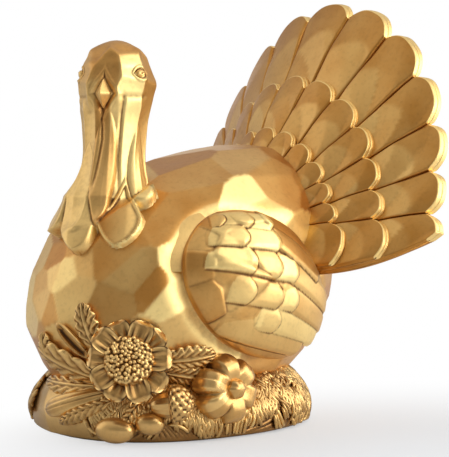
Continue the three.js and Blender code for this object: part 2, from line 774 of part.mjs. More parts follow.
// A nut lying along the mound
function nut(azimuth, z, halfLength, radius, grow) {
  const out = groundNormal(flankPoint, azimuth, z);
  const right = compass(azimuth + 90);
  const axes = { out, right, up: out.clone().cross(right) };
  const centre = flankPoint(azimuth, z).addScaledVector(out, NUT_PROUD);
  return blob(12, 8, (turn, v) => {
    const slope = Math.acos(1 - 2 * v);
    const girth = (radius + grow) * Math.sin(slope);
    const along = -(halfLength + grow) * Math.cos(slope);
    return at(centre, axes, along, girth * Math.cos(turn), girth * Math.sin(turn));
  });
}

const acorn = {
  axes: facing(ACORN_BEARING + 90, ACORN_TIP),
  centre: flankPoint(ACORN_BEARING, ACORN_Z).addScaledVector(compass(ACORN_BEARING), 0.9 * ACORN_RADIUS),
};

// Half of a long round form along the acorn's axis: sense -1 is the nut's end, 1 the cup's
function acornHalf(sense, radius, length, grow) {
  const { axes, centre } = acorn;
  return blob(14, 8, (turn, v) => {
    const slope = Math.acos(1 - 2 * v);
    const girth = (radius + grow) * Math.sin(slope);
    const ahead = -Math.cos(slope);
    const along = sense * (ahead > 0 ? length : 0.25 * length) * ahead + sense * grow * ahead;
    return at(centre, axes, girth * Math.cos(turn), girth * Math.sin(turn), along);
  });
}

const even = (t) => t;
const serrated = (teeth) => (v) => 1 - SERRATION + SERRATION * Math.abs(Math.sin(teeth * Math.PI * v));
const beaded = (beads) => (v) => 1 - EAR_BEADING + EAR_BEADING * Math.abs(Math.cos(beads * Math.PI * v));

const leaf = (root, tip, halfWidth, fullest, lift, teeth) => ({
  ground: flankPoint,
  root,
  tip,
  halfWidth,
  thickness: LEAF_THICKNESS,
  fullest,
  rise: LEAF_RISE,
  lift,
  edge: serrated(teeth),
  rows: 2 * teeth,
  sides: 6,
  spacing: even,
});

const leaves = {
  leaf_upright: leaf([27, 51], [22.5, 74], 7.2, 0.45, 2, 5),
  leaf_boat: leaf([23.5, 45], [12.5, 63], 4, 0.5, 3, 4),
  leaf_oak_top: leaf([3, 40], [3, 57], 5.5, 0.6, 1, 4),
  leaf_oak: leaf([25, 33], [-3, 49], 9.5, 0.6, 1, 5),
  leaf_ash: leaf([27, 28], [-13, 26], 6, 0.6, 1, 6),
  leaf_right_upper: leaf([52, 44], [77, 48], 6.2, 0.55, 2, 5),
  leaf_right_lower: leaf([53, 37.5], [77, 33], 5.5, 0.55, 2, 5),
};

const husk = {
  ground: flankPoint,
  root: [30, 26],
  tip: [-2, 13],
  halfWidth: 6,
  thickness: HUSK_THICKNESS,
  fullest: 0.7,
};

const ear = (root, tip, halfWidth, beads) => ({
  ground: flankPoint,
  root,
  tip,
  halfWidth,
  thickness: EAR_THICKNESS,
  fullest: 0.5,
  edge: beaded(beads),
  rows: 2 * beads,
  sides: 6,
  spacing: even,
});

const ears = {
  wheat_ear_long: ear([34, 22], [8, 8], 4.5, 7),
  wheat_ear_short: ear([44, 21], [38, 9], 4, 4),
};

// Lappets of the wattle: roots high on the neck, free ends on the chest
const lappet = (root, tip, halfWidth, fullest) => ({
  ground: chestPoint,
  root,
  tip,
  halfWidth,
  thickness: WATTLE_THICKNESS,
  fullest,
  rows: 9,
});

const lappets = {
  wattle_centre: lappet([42, 172], [50, 113], 8.5, 0.72),
  wattle_inner_left: lappet([78, 160], [71, 101], 11.5, 0.78),
  wattle_inner_right: lappet([6, 154], [31, 97], 11, 0.78),
  wattle_outer_left: lappet([106, 154], [103, 122], 9, 0.7),
  wattle_outer_right: lappet([-16, 158], [-16, 107], 9.5, 0.75),
};

// Assembly

const tones = {
  gold: { color: 0xc8a052, roughness: 0.32, metalness: 0.85 },
  paleGold: { color: 0xd9b86c, roughness: 0.3, metalness: 0.85 },
  tailGold: { color: 0xb28a4a, roughness: 0.38, metalness: 0.85 },
  antiqueGold: { color: 0xa87c3e, roughness: 0.42, metalness: 0.8 },
  felt: { color: 0x2c3a2a, roughness: 0.95, metalness: 0 },
};

// A named mesh whose own origin is the middle of its piece
function piece(name, solid, tone) {
  const geometry = toGeometry(largest(solid));
  geometry.computeBoundingBox();
  const middle = geometry.boundingBox.getCenter(vec());
  geometry.translate(-middle.x, -middle.y, -middle.z);
  const mesh = new THREE.Mesh(geometry, new THREE.MeshStandardMaterial({ ...tone, flatShading: true }));
  mesh.name = name;
  mesh.position.copy(middle);
  return mesh;
}

const figure = new THREE.Group();
const stand = new THREE.Group();
const bird = new THREE.Group();
const tail = new THREE.Group();
const harvest = new THREE.Group();
figure.add(stand, bird, tail, harvest);

const ground = groundBelow(BODY_FOOT_Z);
const bodyRoom = facetedEgg(GAP).subtract(groundBelow(BODY_FOOT_Z - GAP));
const tailCore = facetedEgg(-TAIL_SEAT);

// Stand
const boss = pourPlug(GAP, BODY_FOOT_Z - BOSS_HEIGHT, BODY_FOOT_Z + BOSS_HEIGHT);
stand.add(piece('felt_pad', feltPad(), tones.felt));
stand.add(piece('base_mound', moundHeap().subtract(bodyRoom).add(boss), tones.antiqueGold));

// Body with its pour opening, neck socket, wing sockets and tail groove
const tailRoom = tailRoots(GAP);
const tailGroove = tailRoom.subtract(facetedEgg(-TAIL_SEAT - GAP));
const body = facetedEgg(0)
  .subtract(facetedEgg(-BODY_WALL, HOLLOW_FACETS))
  .subtract(ground)
  .subtract(pourPlug(0, BODY_FOOT_Z - BOSS_HEIGHT, BODY_FOOT_Z + BODY_WALL))
  .subtract(neckSpigot(GAP))
  .subtract(wingPeg(1, GAP))
  .subtract(wingPeg(-1, GAP))
  .subtract(tailGroove);
bird.add(piece('body', body, tones.gold));

// Neck, beak, eyes and wattle
const neckRoom = neckForm(GAP);
bird.add(piece('neck_head', neckForm(0).subtract(bodyRoom).add(neckSpigot(0)), tones.paleGold));
bird.add(piece('beak', beak(0).subtract(neckRoom), tones.paleGold));
bird.add(piece('eye_left', eye(1, 0).subtract(neckRoom), tones.gold));
bird.add(piece('eye_right', eye(-1, 0).subtract(neckRoom), tones.gold));
let wattleRoom = join([bodyRoom, neckRoom, beak(GAP)]);
for (const [name, shape] of Object.entries(lappets)) {
  bird.add(piece(name, creeper(shape, 0).subtract(wattleRoom), tones.paleGold));
  wattleRoom = wattleRoom.add(creeper(shape, GAP));
}

// Wings
for (const [name, side] of [['wing_left', 1], ['wing_right', -1]]) {
  const raised = join([wingPad(side, 0), ...wingFeathers(side)]);
  const seated = raised.subtract(bodyRoom).subtract(tailRoom);
  bird.add(piece(name, seated.add(wingPeg(side, 0)), tones.gold));
}

// Tail
for (const [label, row] of [['outer', outerRow], ['middle', middleRow]]) {
  tailNumbers.forEach((k, i) => {
    const feather = tailFeather(row, k, 0).subtract(tailCore);
    tail.add(piece(`tail_feather_${label}_${i + 1}`, feather, tones.tailGold));
  });
}
tail.add(piece('tail_collar', tailCollar(0).subtract(tailCore), tones.tailGold));

// Harvest ornaments, each cut to what lies over or behind it
let harvestRoom = join([bodyRoom, moundHeap()]);
function lay(name, make) {
  harvest.add(piece(name, make(0).subtract(harvestRoom), tones.antiqueGold));
  harvestRoom = harvestRoom.add(make(GAP));
}
lay('sunflower_disc', seedDisc);
lay('sunflower_petals', petalRing);
lay('pumpkin_stem', pumpkinStem);
lay('pumpkin', pumpkin);
lay('acorn_cup', (grow) => acornHalf(1, CUP_RADIUS, CUP_LENGTH, grow));
lay('acorn_nut', (grow) => acornHalf(-1, ACORN_RADIUS, ACORN_LENGTH, grow));
lay('nut_long', (grow) => nut(LONG_NUT_BEARING, LONG_NUT_Z, LONG_NUT_HALF_LENGTH, LONG_NUT_RADIUS, grow));
lay('nut_round', (grow) => {
  return nut(ROUND_NUT_BEARING, ROUND_NUT_Z, ROUND_NUT_HALF_LENGTH, ROUND_NUT_RADIUS, grow);
});
for (const [name, shape] of Object.entries(leaves)) lay(name, (grow) => creeper(shape, grow));
lay('corn_husk', (grow) => creeper(husk, grow));
for (const [name, shape] of Object.entries(ears)) lay(name, (grow) => creeper(shape, grow));

export default figure;
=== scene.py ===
"""Gold, chisel-faceted turkey figure on a straw mound, dressed for the studio.

Shapes are worked out in millimetres and put into the meshes in metres. The bird faces -Y, +X is its left
side, and bearings run in degrees from its front towards its left.
"""
from __future__ import annotations

import logging
from dataclasses import dataclass, field
from enum import Enum
from functools import partial
from typing import Callable

import bpy
import numpy as np
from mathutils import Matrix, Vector


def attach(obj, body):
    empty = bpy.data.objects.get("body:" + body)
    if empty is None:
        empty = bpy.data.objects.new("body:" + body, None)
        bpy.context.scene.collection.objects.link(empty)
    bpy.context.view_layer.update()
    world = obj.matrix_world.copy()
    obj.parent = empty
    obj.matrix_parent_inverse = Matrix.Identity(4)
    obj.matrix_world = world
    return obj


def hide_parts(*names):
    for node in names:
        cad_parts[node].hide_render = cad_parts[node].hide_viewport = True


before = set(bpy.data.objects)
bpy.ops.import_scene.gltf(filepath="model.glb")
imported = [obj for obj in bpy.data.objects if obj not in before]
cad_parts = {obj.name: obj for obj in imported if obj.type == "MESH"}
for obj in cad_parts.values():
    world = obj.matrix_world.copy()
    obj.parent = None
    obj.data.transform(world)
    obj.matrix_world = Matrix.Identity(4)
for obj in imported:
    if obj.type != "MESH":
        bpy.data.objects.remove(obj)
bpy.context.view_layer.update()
LOG = logging.getLogger("turkey")
Array = np.ndarray
Colour = tuple[float, float, float]
Socket = bpy.types.NodeSocket
Ground = Callable[[Array, Array], Array]
METRES = 0.001
GOLDEN_ANGLE = np.pi * (3 - np.sqrt(5))
UP = np.array([0, 0, 1.0])
LEVEL = np.array([1.0, 1, 0])
# Degrees or millimetres to each side at which the ground is felt for its normal.
PROBE = 3.0
# Millimetres by which the neck's skin lies under the body's facets outside the wattle.
SUNK = 1.5


class Slot(Enum):
    """Material slots of the record."""

    BIRD = "bird_gold"
    TAIL = "tail_gold"
    ANTIQUE = "antique_gold"


def unit(v: Array) -> Array:
    """Vectors scaled to length one along their last axis."""
    return v / np.maximum(np.linalg.norm(v, axis=-1, keepdims=True), 1e-12)


def lerp(a: Array | float, b: Array | float, t: Array | float) -> Array | float:
    """The value a share t of the way from a to b."""
    return a + (b - a) * t


def smooth(x: Array, low: float, high: float) -> Array:
    """A smooth step from 0 at low to 1 at high."""
    t = np.clip((x - low) / (high - low), 0, 1)
    return t * t * (3 - 2 * t)


def bell(x: Array, width: Array | float) -> Array:
    """A bell of height 1 at 0: e to the minus square of x over its width."""
    return np.exp(-((x / width) ** 2))


def vec(x: Array | float, y: Array | float, z: Array | float) -> Array:
    """Points from three coordinate arrays that fit each other."""
    return np.stack(np.broadcast_arrays(x, y, z), -1).astype(float)


def cos_sin(angle: Array | float) -> tuple[Array, Array]:
    """Cosine and sine of an angle in degrees."""
    return np.cos(np.radians(angle)), np.sin(np.radians(angle))


def wrap(angle: Array) -> Array:
    """Bearings brought between -180 and 180 degrees."""
    return (angle + 180) % 360 - 180


def compass(azimuth: Array | float) -> Array:
    """Level unit vectors at bearings from the bird's front towards its left."""
    a = np.radians(azimuth)
    return vec(np.sin(a), -np.cos(a), 0 * a)


def chisel(index: Array, use: Array | float) -> Array:
    """A repeatable uneven hand: a number from -1 to 1 for each facet and use, by a fast sine's fraction."""
    wave = np.sin(index * 12.9898 + use * 78.233) * 43758.5453
    return 2 * (wave - np.floor(wave)) - 1


def knock(index: Array, use: int) -> Array:
    """A small uneven vector for each facet, from three uses of the chisel in a row."""
    return vec(*(chisel(index, use + axis) for axis in range(3)))


def turns(count: int) -> Array:
    """Evenly spaced angles round a ring, in radians."""
    return 2 * np.pi * (np.arange(count) + 0.5) / count


def poles(rows: int) -> Array:
    """Shares from 0 to 1 that crowd at both ends, for rings that close on poles."""
    return (1 - np.cos(np.pi * (np.arange(rows) + 0.5) / rows)) / 2


def globe(rows: int, columns: int) -> tuple[Array, Array]:
    """Slopes from pole to pole down a column and angles along a row, in radians, for a round skin."""
    return (np.pi * poles(rows))[:, None], turns(columns)[None]


def ball(slope: Array, around: Array) -> Array:
    """Unit directions at slopes from the upper pole and angles round it."""
    return vec(np.sin(slope) * np.cos(around), np.sin(slope) * np.sin(around), np.cos(slope))


def sown(count: int) -> Array:
    """Unit directions spread evenly over a ball, each a golden angle on from the one above it.

    Args:
        count: how many.

    Returns:
        The directions, from top to bottom.
    """
    i = np.arange(count)
    z = 1 - (2 * i + 1) / count
    flat = np.sqrt(1 - z * z)
    return vec(np.cos(i * GOLDEN_ANGLE) * flat, np.sin(i * GOLDEN_ANGLE) * flat, z)


def fullness(v: Array, fullest: float) -> Array:
    """How full a lens-shaped piece is along its length: half an ellipse on each side of its widest place."""
    share = np.where(v < fullest, (fullest - v) / fullest, (v - fullest) / (1 - fullest))
    return np.sqrt(np.clip(1 - share**2, 0, None))


def spread(values: Array, width: int) -> Array:
    """Rows averaged over their neighbours by a running sum.

    Args:
        values: an array of rows, whose end rows are repeated.
        width: how many rows each way count.

    Returns:
        The averaged rows.
    """
    padded = np.concatenate([values[:1].repeat(width, 0), values, values[-1:].repeat(width + 1, 0)])
    total = np.concatenate([0 * padded[:1], padded.cumsum(0)])
    return (total[2 * width + 1 : -1] - total[: -2 * width - 2]) / (2 * width + 1)


def shares(away: Array, blend: float) -> Array:
    """Weights that add up to 1 and fall off as e to the minus distance beyond the nearest over blend."""
    weight = np.exp(-(away - away.min(-1, keepdims=True)) / blend)
    return weight / weight.sum(-1, keepdims=True)


def facets(
    points: Array, normals: Array, centres: Array, facings: Array, stretch: Array, blend: float
) -> tuple[Array, Array]:
    """Heights that chisel a surface flat round each of some centres.

    Each point is lifted along its normal to the plane of its nearest centre, and near a border the planes'
    heights are mixed by weights that fall off with the squared distance over blend.

    Args:
        points: surface points.
        normals: their unit normals.
        centres: facet centres on the surface.
        facings: facet normals.
        stretch: scale of each axis when distances are compared.
        blend: square millimetres over which two facets round into each other.

    Returns:
        The height of each point, and each centre's share in it.
    """
    weight = shares((((points[..., None, :] - centres) * stretch) ** 2).sum(-1), blend)
    lift = ((centres - points[..., None, :]) * facings).sum(-1)
    lift /= np.maximum((normals[..., None, :] * facings).sum(-1), 0.4)
    return (weight * lift).sum(-1), weight


def ground_normal(ground: Ground, azimuth: Array | float, z: Array | float) -> Array:
    """The ground's outward normal: the cross product of a step round it and a step up it.

    Args:
        ground: points at bearings and heights.
        azimuth: bearings.
        z: heights.

    Returns:
        Unit normals.
    """
    around = ground(azimuth + PROBE, z) - ground(azimuth - PROBE, z)
    upward = ground(azimuth, z + PROBE) - ground(azimuth, z - PROBE)
    return unit(np.cross(around, upward))


class Nodes:
    """A short hand for building one node tree."""

    def __init__(self, tree: bpy.types.NodeTree) -> None:
        """Keeps the tree to build in."""
        self.tree = tree

    @staticmethod
    def material(name: str) -> tuple[bpy.types.Material, Nodes, bpy.types.Node]:
        """A new material.

        Args:
            name: its name.

        Returns:
            The material, a kit for its tree and its shader.
        """
        made = bpy.data.materials.new(name)
        made.use_nodes = True
        return made, Nodes(made.node_tree), made.node_tree.nodes["Principled BSDF"]

    def add(self, kind: str) -> bpy.types.Node:
        """A new node of that kind."""
        return self.tree.nodes.new(kind)

    def link(self, source: object, target: Socket) -> None:
        """Joins an output to an input socket, or sets a plain value there.

        Args:
            source: an output socket, a number or a colour.
            target: the input socket.
        """
        if isinstance(source, Socket):
            self.tree.links.new(source, target)
        else:
            target.default_value = source

    @staticmethod
    def fit(node: bpy.types.Node, values: dict[str, float]) -> None:
        """Sets plain numbers on a node's named inputs."""
        for name, value in values.items():
            node.inputs[name].default_value = value

    def place(self) -> Socket:
        """The place on the object, in metres."""
        return self.add("ShaderNodeTexCoord").outputs["Object"]

    def attribute(self, name: str) -> Socket:
        """The value of a mesh attribute.

        Args:
            name: the attribute.

        Returns:
            Its output.
        """
        node = self.add("ShaderNodeAttribute")
        node.attribute_name = name
        return node.outputs["Fac"]

    def noise(self, place: Socket, scale: float, detail: float) -> Socket:
        """Noise over a place.

        Args:
            place: the coordinates.
            scale: features per metre.
            detail: octaves of finer noise.

        Returns:
            A level from 0 to 1.
        """
        node = self.add("ShaderNodeTexNoise")
        self.fit(node, {"Scale": scale, "Detail": detail})
        self.link(place, node.inputs["Vector"])
        return node.outputs["Fac"]

    def math(self, operation: str, *values: object, clamp: bool = False) -> Socket:
        """A sum on sockets and numbers.

        Args:
            operation: the node's operation.
            values: its inputs in order.
            clamp: whether the result is held between 0 and 1.

        Returns:
            The result.
        """
        node = self.add("ShaderNodeMath")
        node.operation = operation
        node.use_clamp = clamp
        for socket, value in zip(node.inputs, values):
            self.link(value, socket)
        return node.outputs[0]

    def scale_colour(self, colour: Colour, level: object) -> Socket:
        """A colour multiplied by a level.

        Args:
            colour: the colour.
            level: a socket or a number.

        Returns:
            The scaled colour.
        """
        node = self.add("ShaderNodeVectorMath")
        node.operation = "SCALE"
        node.inputs[0].default_value = colour
        self.link(level, node.inputs["Scale"])
        return node.outputs["Vector"]

    def mix_colour(self, share: object, first: object, second: Colour) -> Socket:
        """A colour a share of the way from first to second.

        Args:
            share: a socket or a number.
            first: a socket, or a colour with its alpha.
            second: a colour.

        Returns:
            The mixed colour.
        """
        node = self.add("ShaderNodeMix")
        node.data_type = "RGBA"
        self.link(share, node.inputs["Factor"])
        self.link(first, node.inputs["A"])
        node.inputs["B"].default_value = (*second, 1)
        return node.outputs["Result"]

    def bump(self, shader: bpy.types.Node, height: Socket, strength: float, distance: float) -> None:
        """Bumps a shader's normal by a height.

        Args:
            shader: the shader.
            height: the level that is bumped.
            strength: the bump's strength.
            distance: its height in metres.
        """
        node = self.add("ShaderNodeBump")
        self.fit(node, {"Strength": strength, "Distance": distance})
        self.link(height, node.inputs["Height"])
        self.link(node.outputs["Normal"], shader.inputs["Normal"])


@dataclass(frozen=True)
class Finish:
    """A gold paint: brown or pale by a tone that holds random tones, wear and painted light and shade,
    with a dark wash in its recesses that is partly the paint's antiquing and partly painted shade.

    Clouds, specks and pits are noise, in features per metre.
    """

    name: str
    brown: Colour
    pale: Colour
    dark: Colour
    roughness: float = 0.3
    # Strength of the dark in recesses: partly the paint's wash and partly painted shade.
    wash_and_shade: float = 1.0
    metallic: float = 0.9
    coat: float = 0.08
    coat_roughness: float = 0.16
    coat_ior: float = 1.7
    clouds: float = 45.0
    specks: float = 420.0
    pits: float = 900.0
    pit_strength: float = 0.06
    pit_depth: float = 0.0006

    def material(self) -> bpy.types.Material:
        """The finish as nodes: attributes and noise drive the colour, and noise the roughness and the bump.

        Returns:
            The material, made once and then reused.
        """
        if self.name in bpy.data.materials:
            return bpy.data.materials[self.name]
        made, kit, shader = Nodes.material(self.name)
        coat = {"Coat Weight": self.coat, "Coat Roughness": self.coat_roughness, "Coat IOR": self.coat_ior}
        kit.fit(shader, {"Metallic": self.metallic, **coat})
        place = kit.place()
        cloud = kit.noise(place, self.clouds, 4.0)
        speck = kit.noise(place, self.specks, 3.0)
        paling = kit.math("MULTIPLY_ADD", cloud, 0.5, -0.25)
        level = kit.math("ADD", kit.attribute("tone"), paling, clamp=True)
        lit = kit.mix_colour(level, (*self.brown, 1), self.pale)
        # Dark specks, and the dark in recesses, which is partly wash and partly painted shade.
        deep = kit.math("MULTIPLY_ADD", speck, 0.5, kit.math("MULTIPLY", kit.attribute("wash_and_shade"), self.wash_and_shade))
        deep = kit.math("SUBTRACT", deep, 0.25, clamp=True)
        kit.link(kit.mix_colour(deep, lit, self.dark), shader.inputs["Base Color"])
        worn = kit.math("MULTIPLY_ADD", cloud, 0.16, self.roughness - 0.08)
        kit.link(kit.math("MULTIPLY_ADD", deep, 0.25, worn), shader.inputs["Roughness"])
        kit.bump(shader, kit.noise(place, self.pits, 2.0), self.pit_strength, self.pit_depth)
        return made


@dataclass(frozen=True)
class Felt:
    """Tan felt: a mottled fibre colour with a fuzzy bump and sheen."""

    name: str = "tan_felt"
    light: Colour = (0.42, 0.29, 0.15)
    dark: Colour = (0.22, 0.14, 0.07)
    fibres: float = 700.0

    def material(self) -> bpy.types.Material:
        """The felt as nodes: one fine noise for the fibres, in colour and bump.

        Returns:
            The material.
        """
        made, kit, shader = Nodes.material(self.name)
        kit.fit(shader, {"Roughness": 0.95, "Sheen Weight": 0.4})
        fibre = kit.noise(kit.place(), self.fibres, 5.0)
        colour = kit.mix_colour(fibre, kit.scale_colour(self.light, fibre), self.dark)
        kit.link(colour, shader.inputs["Base Color"])
        kit.bump(shader, fibre, 0.5, 0.0005)
        return made


BIRD_GOLD = Finish("bird_leafing", (0.56, 0.25, 0.05), (1.0, 0.74, 0.29), (0.13, 0.05, 0.014), 0.41)
TAIL_GOLD = Finish("tail_leafing", (0.5, 0.215, 0.034), (1.0, 0.69, 0.25), (0.08, 0.03, 0.01), 0.4, 1.8)
HARVEST_GOLD = Finish(
    "harvest_leafing", (0.46, 0.23, 0.06), (0.96, 0.63, 0.235), (0.09, 0.04, 0.012), wash_and_shade=1.5
)
STRAW_GOLD = Finish("straw_leafing", (0.3, 0.145, 0.04), (0.85, 0.55, 0.2), (0.09, 0.04, 0.012), wash_and_shade=1.6)


def skin(rings: Array) -> tuple[Array, Array, Array]:
    """Closed skins over stacks of rings.

    Neighbouring rings are joined by quads, and each end ring by triangles to a pole at its middle. If the
    skins' signed volume is negative all faces are turned round.

    Args:
        rings: points in millimetres, as skins, rings, places round the ring and coordinates.

    Returns:
        Vertices, quads and triangles.
    """
    m, r, c, _ = rings.shape
    start = (np.arange(m) * r * c)[:, None, None]
    a = start + np.arange(r - 1)[None, :, None] * c + np.arange(c)
    b = start + np.arange(r - 1)[None, :, None] * c + (np.arange(c) + 1) % c
    quads = np.stack([a, b, b + c, a + c], -1).reshape(-1, 4)
    ends = m * r * c + np.arange(2 * m).reshape(m, 2)
    first, second = a[:, 0], b[:, 0]
    drop = (r - 1) * c
    top = np.stack([np.broadcast_to(ends[:, :1], first.shape), second, first], -1)
    low = np.stack([np.broadcast_to(ends[:, 1:], first.shape), first + drop, second + drop], -1)
    triangles = np.concatenate([top.reshape(-1, 3), low.reshape(-1, 3)])
    tips = np.stack([rings[:, 0].mean(1), rings[:, -1].mean(1)], 1).reshape(-1, 3)
    vertices = np.concatenate([rings.reshape(-1, 3), tips])
    whole = np.concatenate([quads[:, :3], quads[:, [0, 2, 3]], triangles])
    p, q, s = (vertices[whole[:, i]] for i in range(3))
    if (p * np.cross(q, s)).sum() < 0:
        quads, triangles = quads[:, ::-1], triangles[:, ::-1]
    return vertices, quads, triangles


def hollows(vertices: Array, normals: Array, edges: Array, reach: float) -> Array:
    """How far each vertex lies in a recess, from 0 to 1.

    The mean of a vertex's neighbours stands outside the vertex along its normal in a recess. That step over
    the squared edge length is a curvature, which is averaged over the neighbours twice and multiplied by four
    times the reach.

    Args:
        vertices: points in millimetres.
        normals: their normals.
        edges: pairs of vertex numbers.
        reach: how strongly a hollow counts, in millimetres.

    Returns:
        One share for each vertex.
    """
    count = len(vertices)
    ends = np.concatenate([edges[:, 0], edges[:, 1]])
    others = np.concatenate([edges[:, 1], edges[:, 0]])
    degree = np.maximum(np.bincount(ends, minlength=count), 1)
    step = vertices[others] - vertices[ends]
    out = np.bincount(ends, (step * normals[ends]).sum(-1), count) / degree
    long = np.bincount(ends, (step**2).sum(-1), count) / degree
    bend = out / np.maximum(long, 1e-3)
    for _ in range(2):
        bend = 0.5 * bend + 0.5 * np.bincount(ends, bend[others], count) / degree
    return np.clip(bend * reach * 4, 0, 1)


@dataclass
class Casting:
    """One cast piece: its skin, the nodes it stands for, its finish and tones."""

    name: str
    rings: Array
    finish: Finish
    slot: Slot
    nodes: tuple[str, ...] = ()
    tone: Array | None = None
    recess: float = 1.0

    def pour(self) -> None:
        """Puts the skin into a mesh with its tones and the dark of its recesses, which is partly wash and
        partly painted shade, dresses it and ties it to the frame.
        """
        rings = self.rings if self.rings.ndim == 4 else self.rings[None]
        vertices, quads, triangles = skin(rings)
        mesh = bpy.data.meshes.new(self.name)
        mesh.vertices.add(len(vertices))
        mesh.vertices.foreach_set("co", (vertices * METRES).ravel())
        mesh.loops.add(quads.size + triangles.size)
        mesh.loops.foreach_set("vertex_index", np.concatenate([quads.ravel(), triangles.ravel()]))
        mesh.polygons.add(len(quads) + len(triangles))
        starts = np.concatenate([4 * np.arange(len(quads)), quads.size + 3 * np.arange(len(triangles))])
        mesh.polygons.foreach_set("loop_start", starts)
        mesh.update(calc_edges=True)
        mesh.validate()
        mesh.shade_smooth()
        self.mark(mesh, vertices)
        mesh.materials.append(self.finish.material())
        obj = bpy.data.objects.new(self.name, mesh)
        bpy.context.scene.collection.objects.link(obj)
        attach(obj, "root")
        if self.nodes:
            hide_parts(*self.nodes)
        LOG.info("%s: %d faces", self.name, len(mesh.polygons))

    def mark(self, mesh: bpy.types.Mesh, vertices: Array) -> None:
        """Writes the tones, and the dark of the recesses: partly the paint's wash and partly painted shade.

        Args:
            mesh: the mesh to mark.
            vertices: its points in millimetres.
        """
        normals = np.empty(len(vertices) * 3, np.float32)
        mesh.vertex_normals.foreach_get("vector", normals)
        edges = np.empty(len(mesh.edges) * 2, np.int32)
        mesh.edges.foreach_get("vertices", edges)
        # The dark in recesses: partly the paint's wash and partly painted shade.
        wash_and_shade = hollows(vertices, normals.reshape(-1, 3).astype(float), edges.reshape(-1, 2), self.recess)
        tone = np.full(len(vertices), 0.5)
        if self.tone is not None:
            tone[: self.tone.size] = self.tone.ravel()
        for name, values in (("wash_and_shade", wash_and_shade), ("tone", tone)):
            layer = mesh.attributes.new(name, "FLOAT", "POINT")
            layer.data.foreach_set("value", values.astype(np.float32))


@dataclass(frozen=True)
class WingPlan:
    """A wing's place on the flank: the plane that it is laid out in, square to the bird's side."""

    y: float = 13.0
    z: float = 84.0
    front: float = 53.0
    rear: float = 68.0
    half_height: float = 41.0
    droop: float = 33.0
    squareness: float = 2.5

    def power(self, a: Array, b: Array) -> Array:
        """The power of the outline's sum, which is squarer at its upper front."""
        return np.where((a < 0) & (b > 0), self.squareness, 2.0)

    def spot(self, a: Array, b: Array) -> tuple[Array, Array]:
        """Rear and height of places given along and square to the drooping wing."""
        c, s = cos_sin(self.droop)
        return self.y + a * c + b * s, self.z - a * s + b * c

    def local(self, y: Array, z: Array) -> tuple[Array, Array]:
        """Places along and square to the drooping wing from rear and height."""
        c, s = cos_sin(self.droop)
        return (y - self.y) * c - (z - self.z) * s, (y - self.y) * s + (z - self.z) * c

    def share(self, a: Array, b: Array) -> Array:
        """How far out a place lies: an oval by a power sum with a longer rear.

        Args:
            a: places along the wing.
            b: places square to that.

        Returns:
            0 in the wing's middle and 1 on its outline.
        """
        power = self.power(a, b)
        along = np.abs(a) / np.where(a > 0, self.rear, self.front)
        return (along**power + np.abs(b / self.half_height) ** power) ** (1 / power)


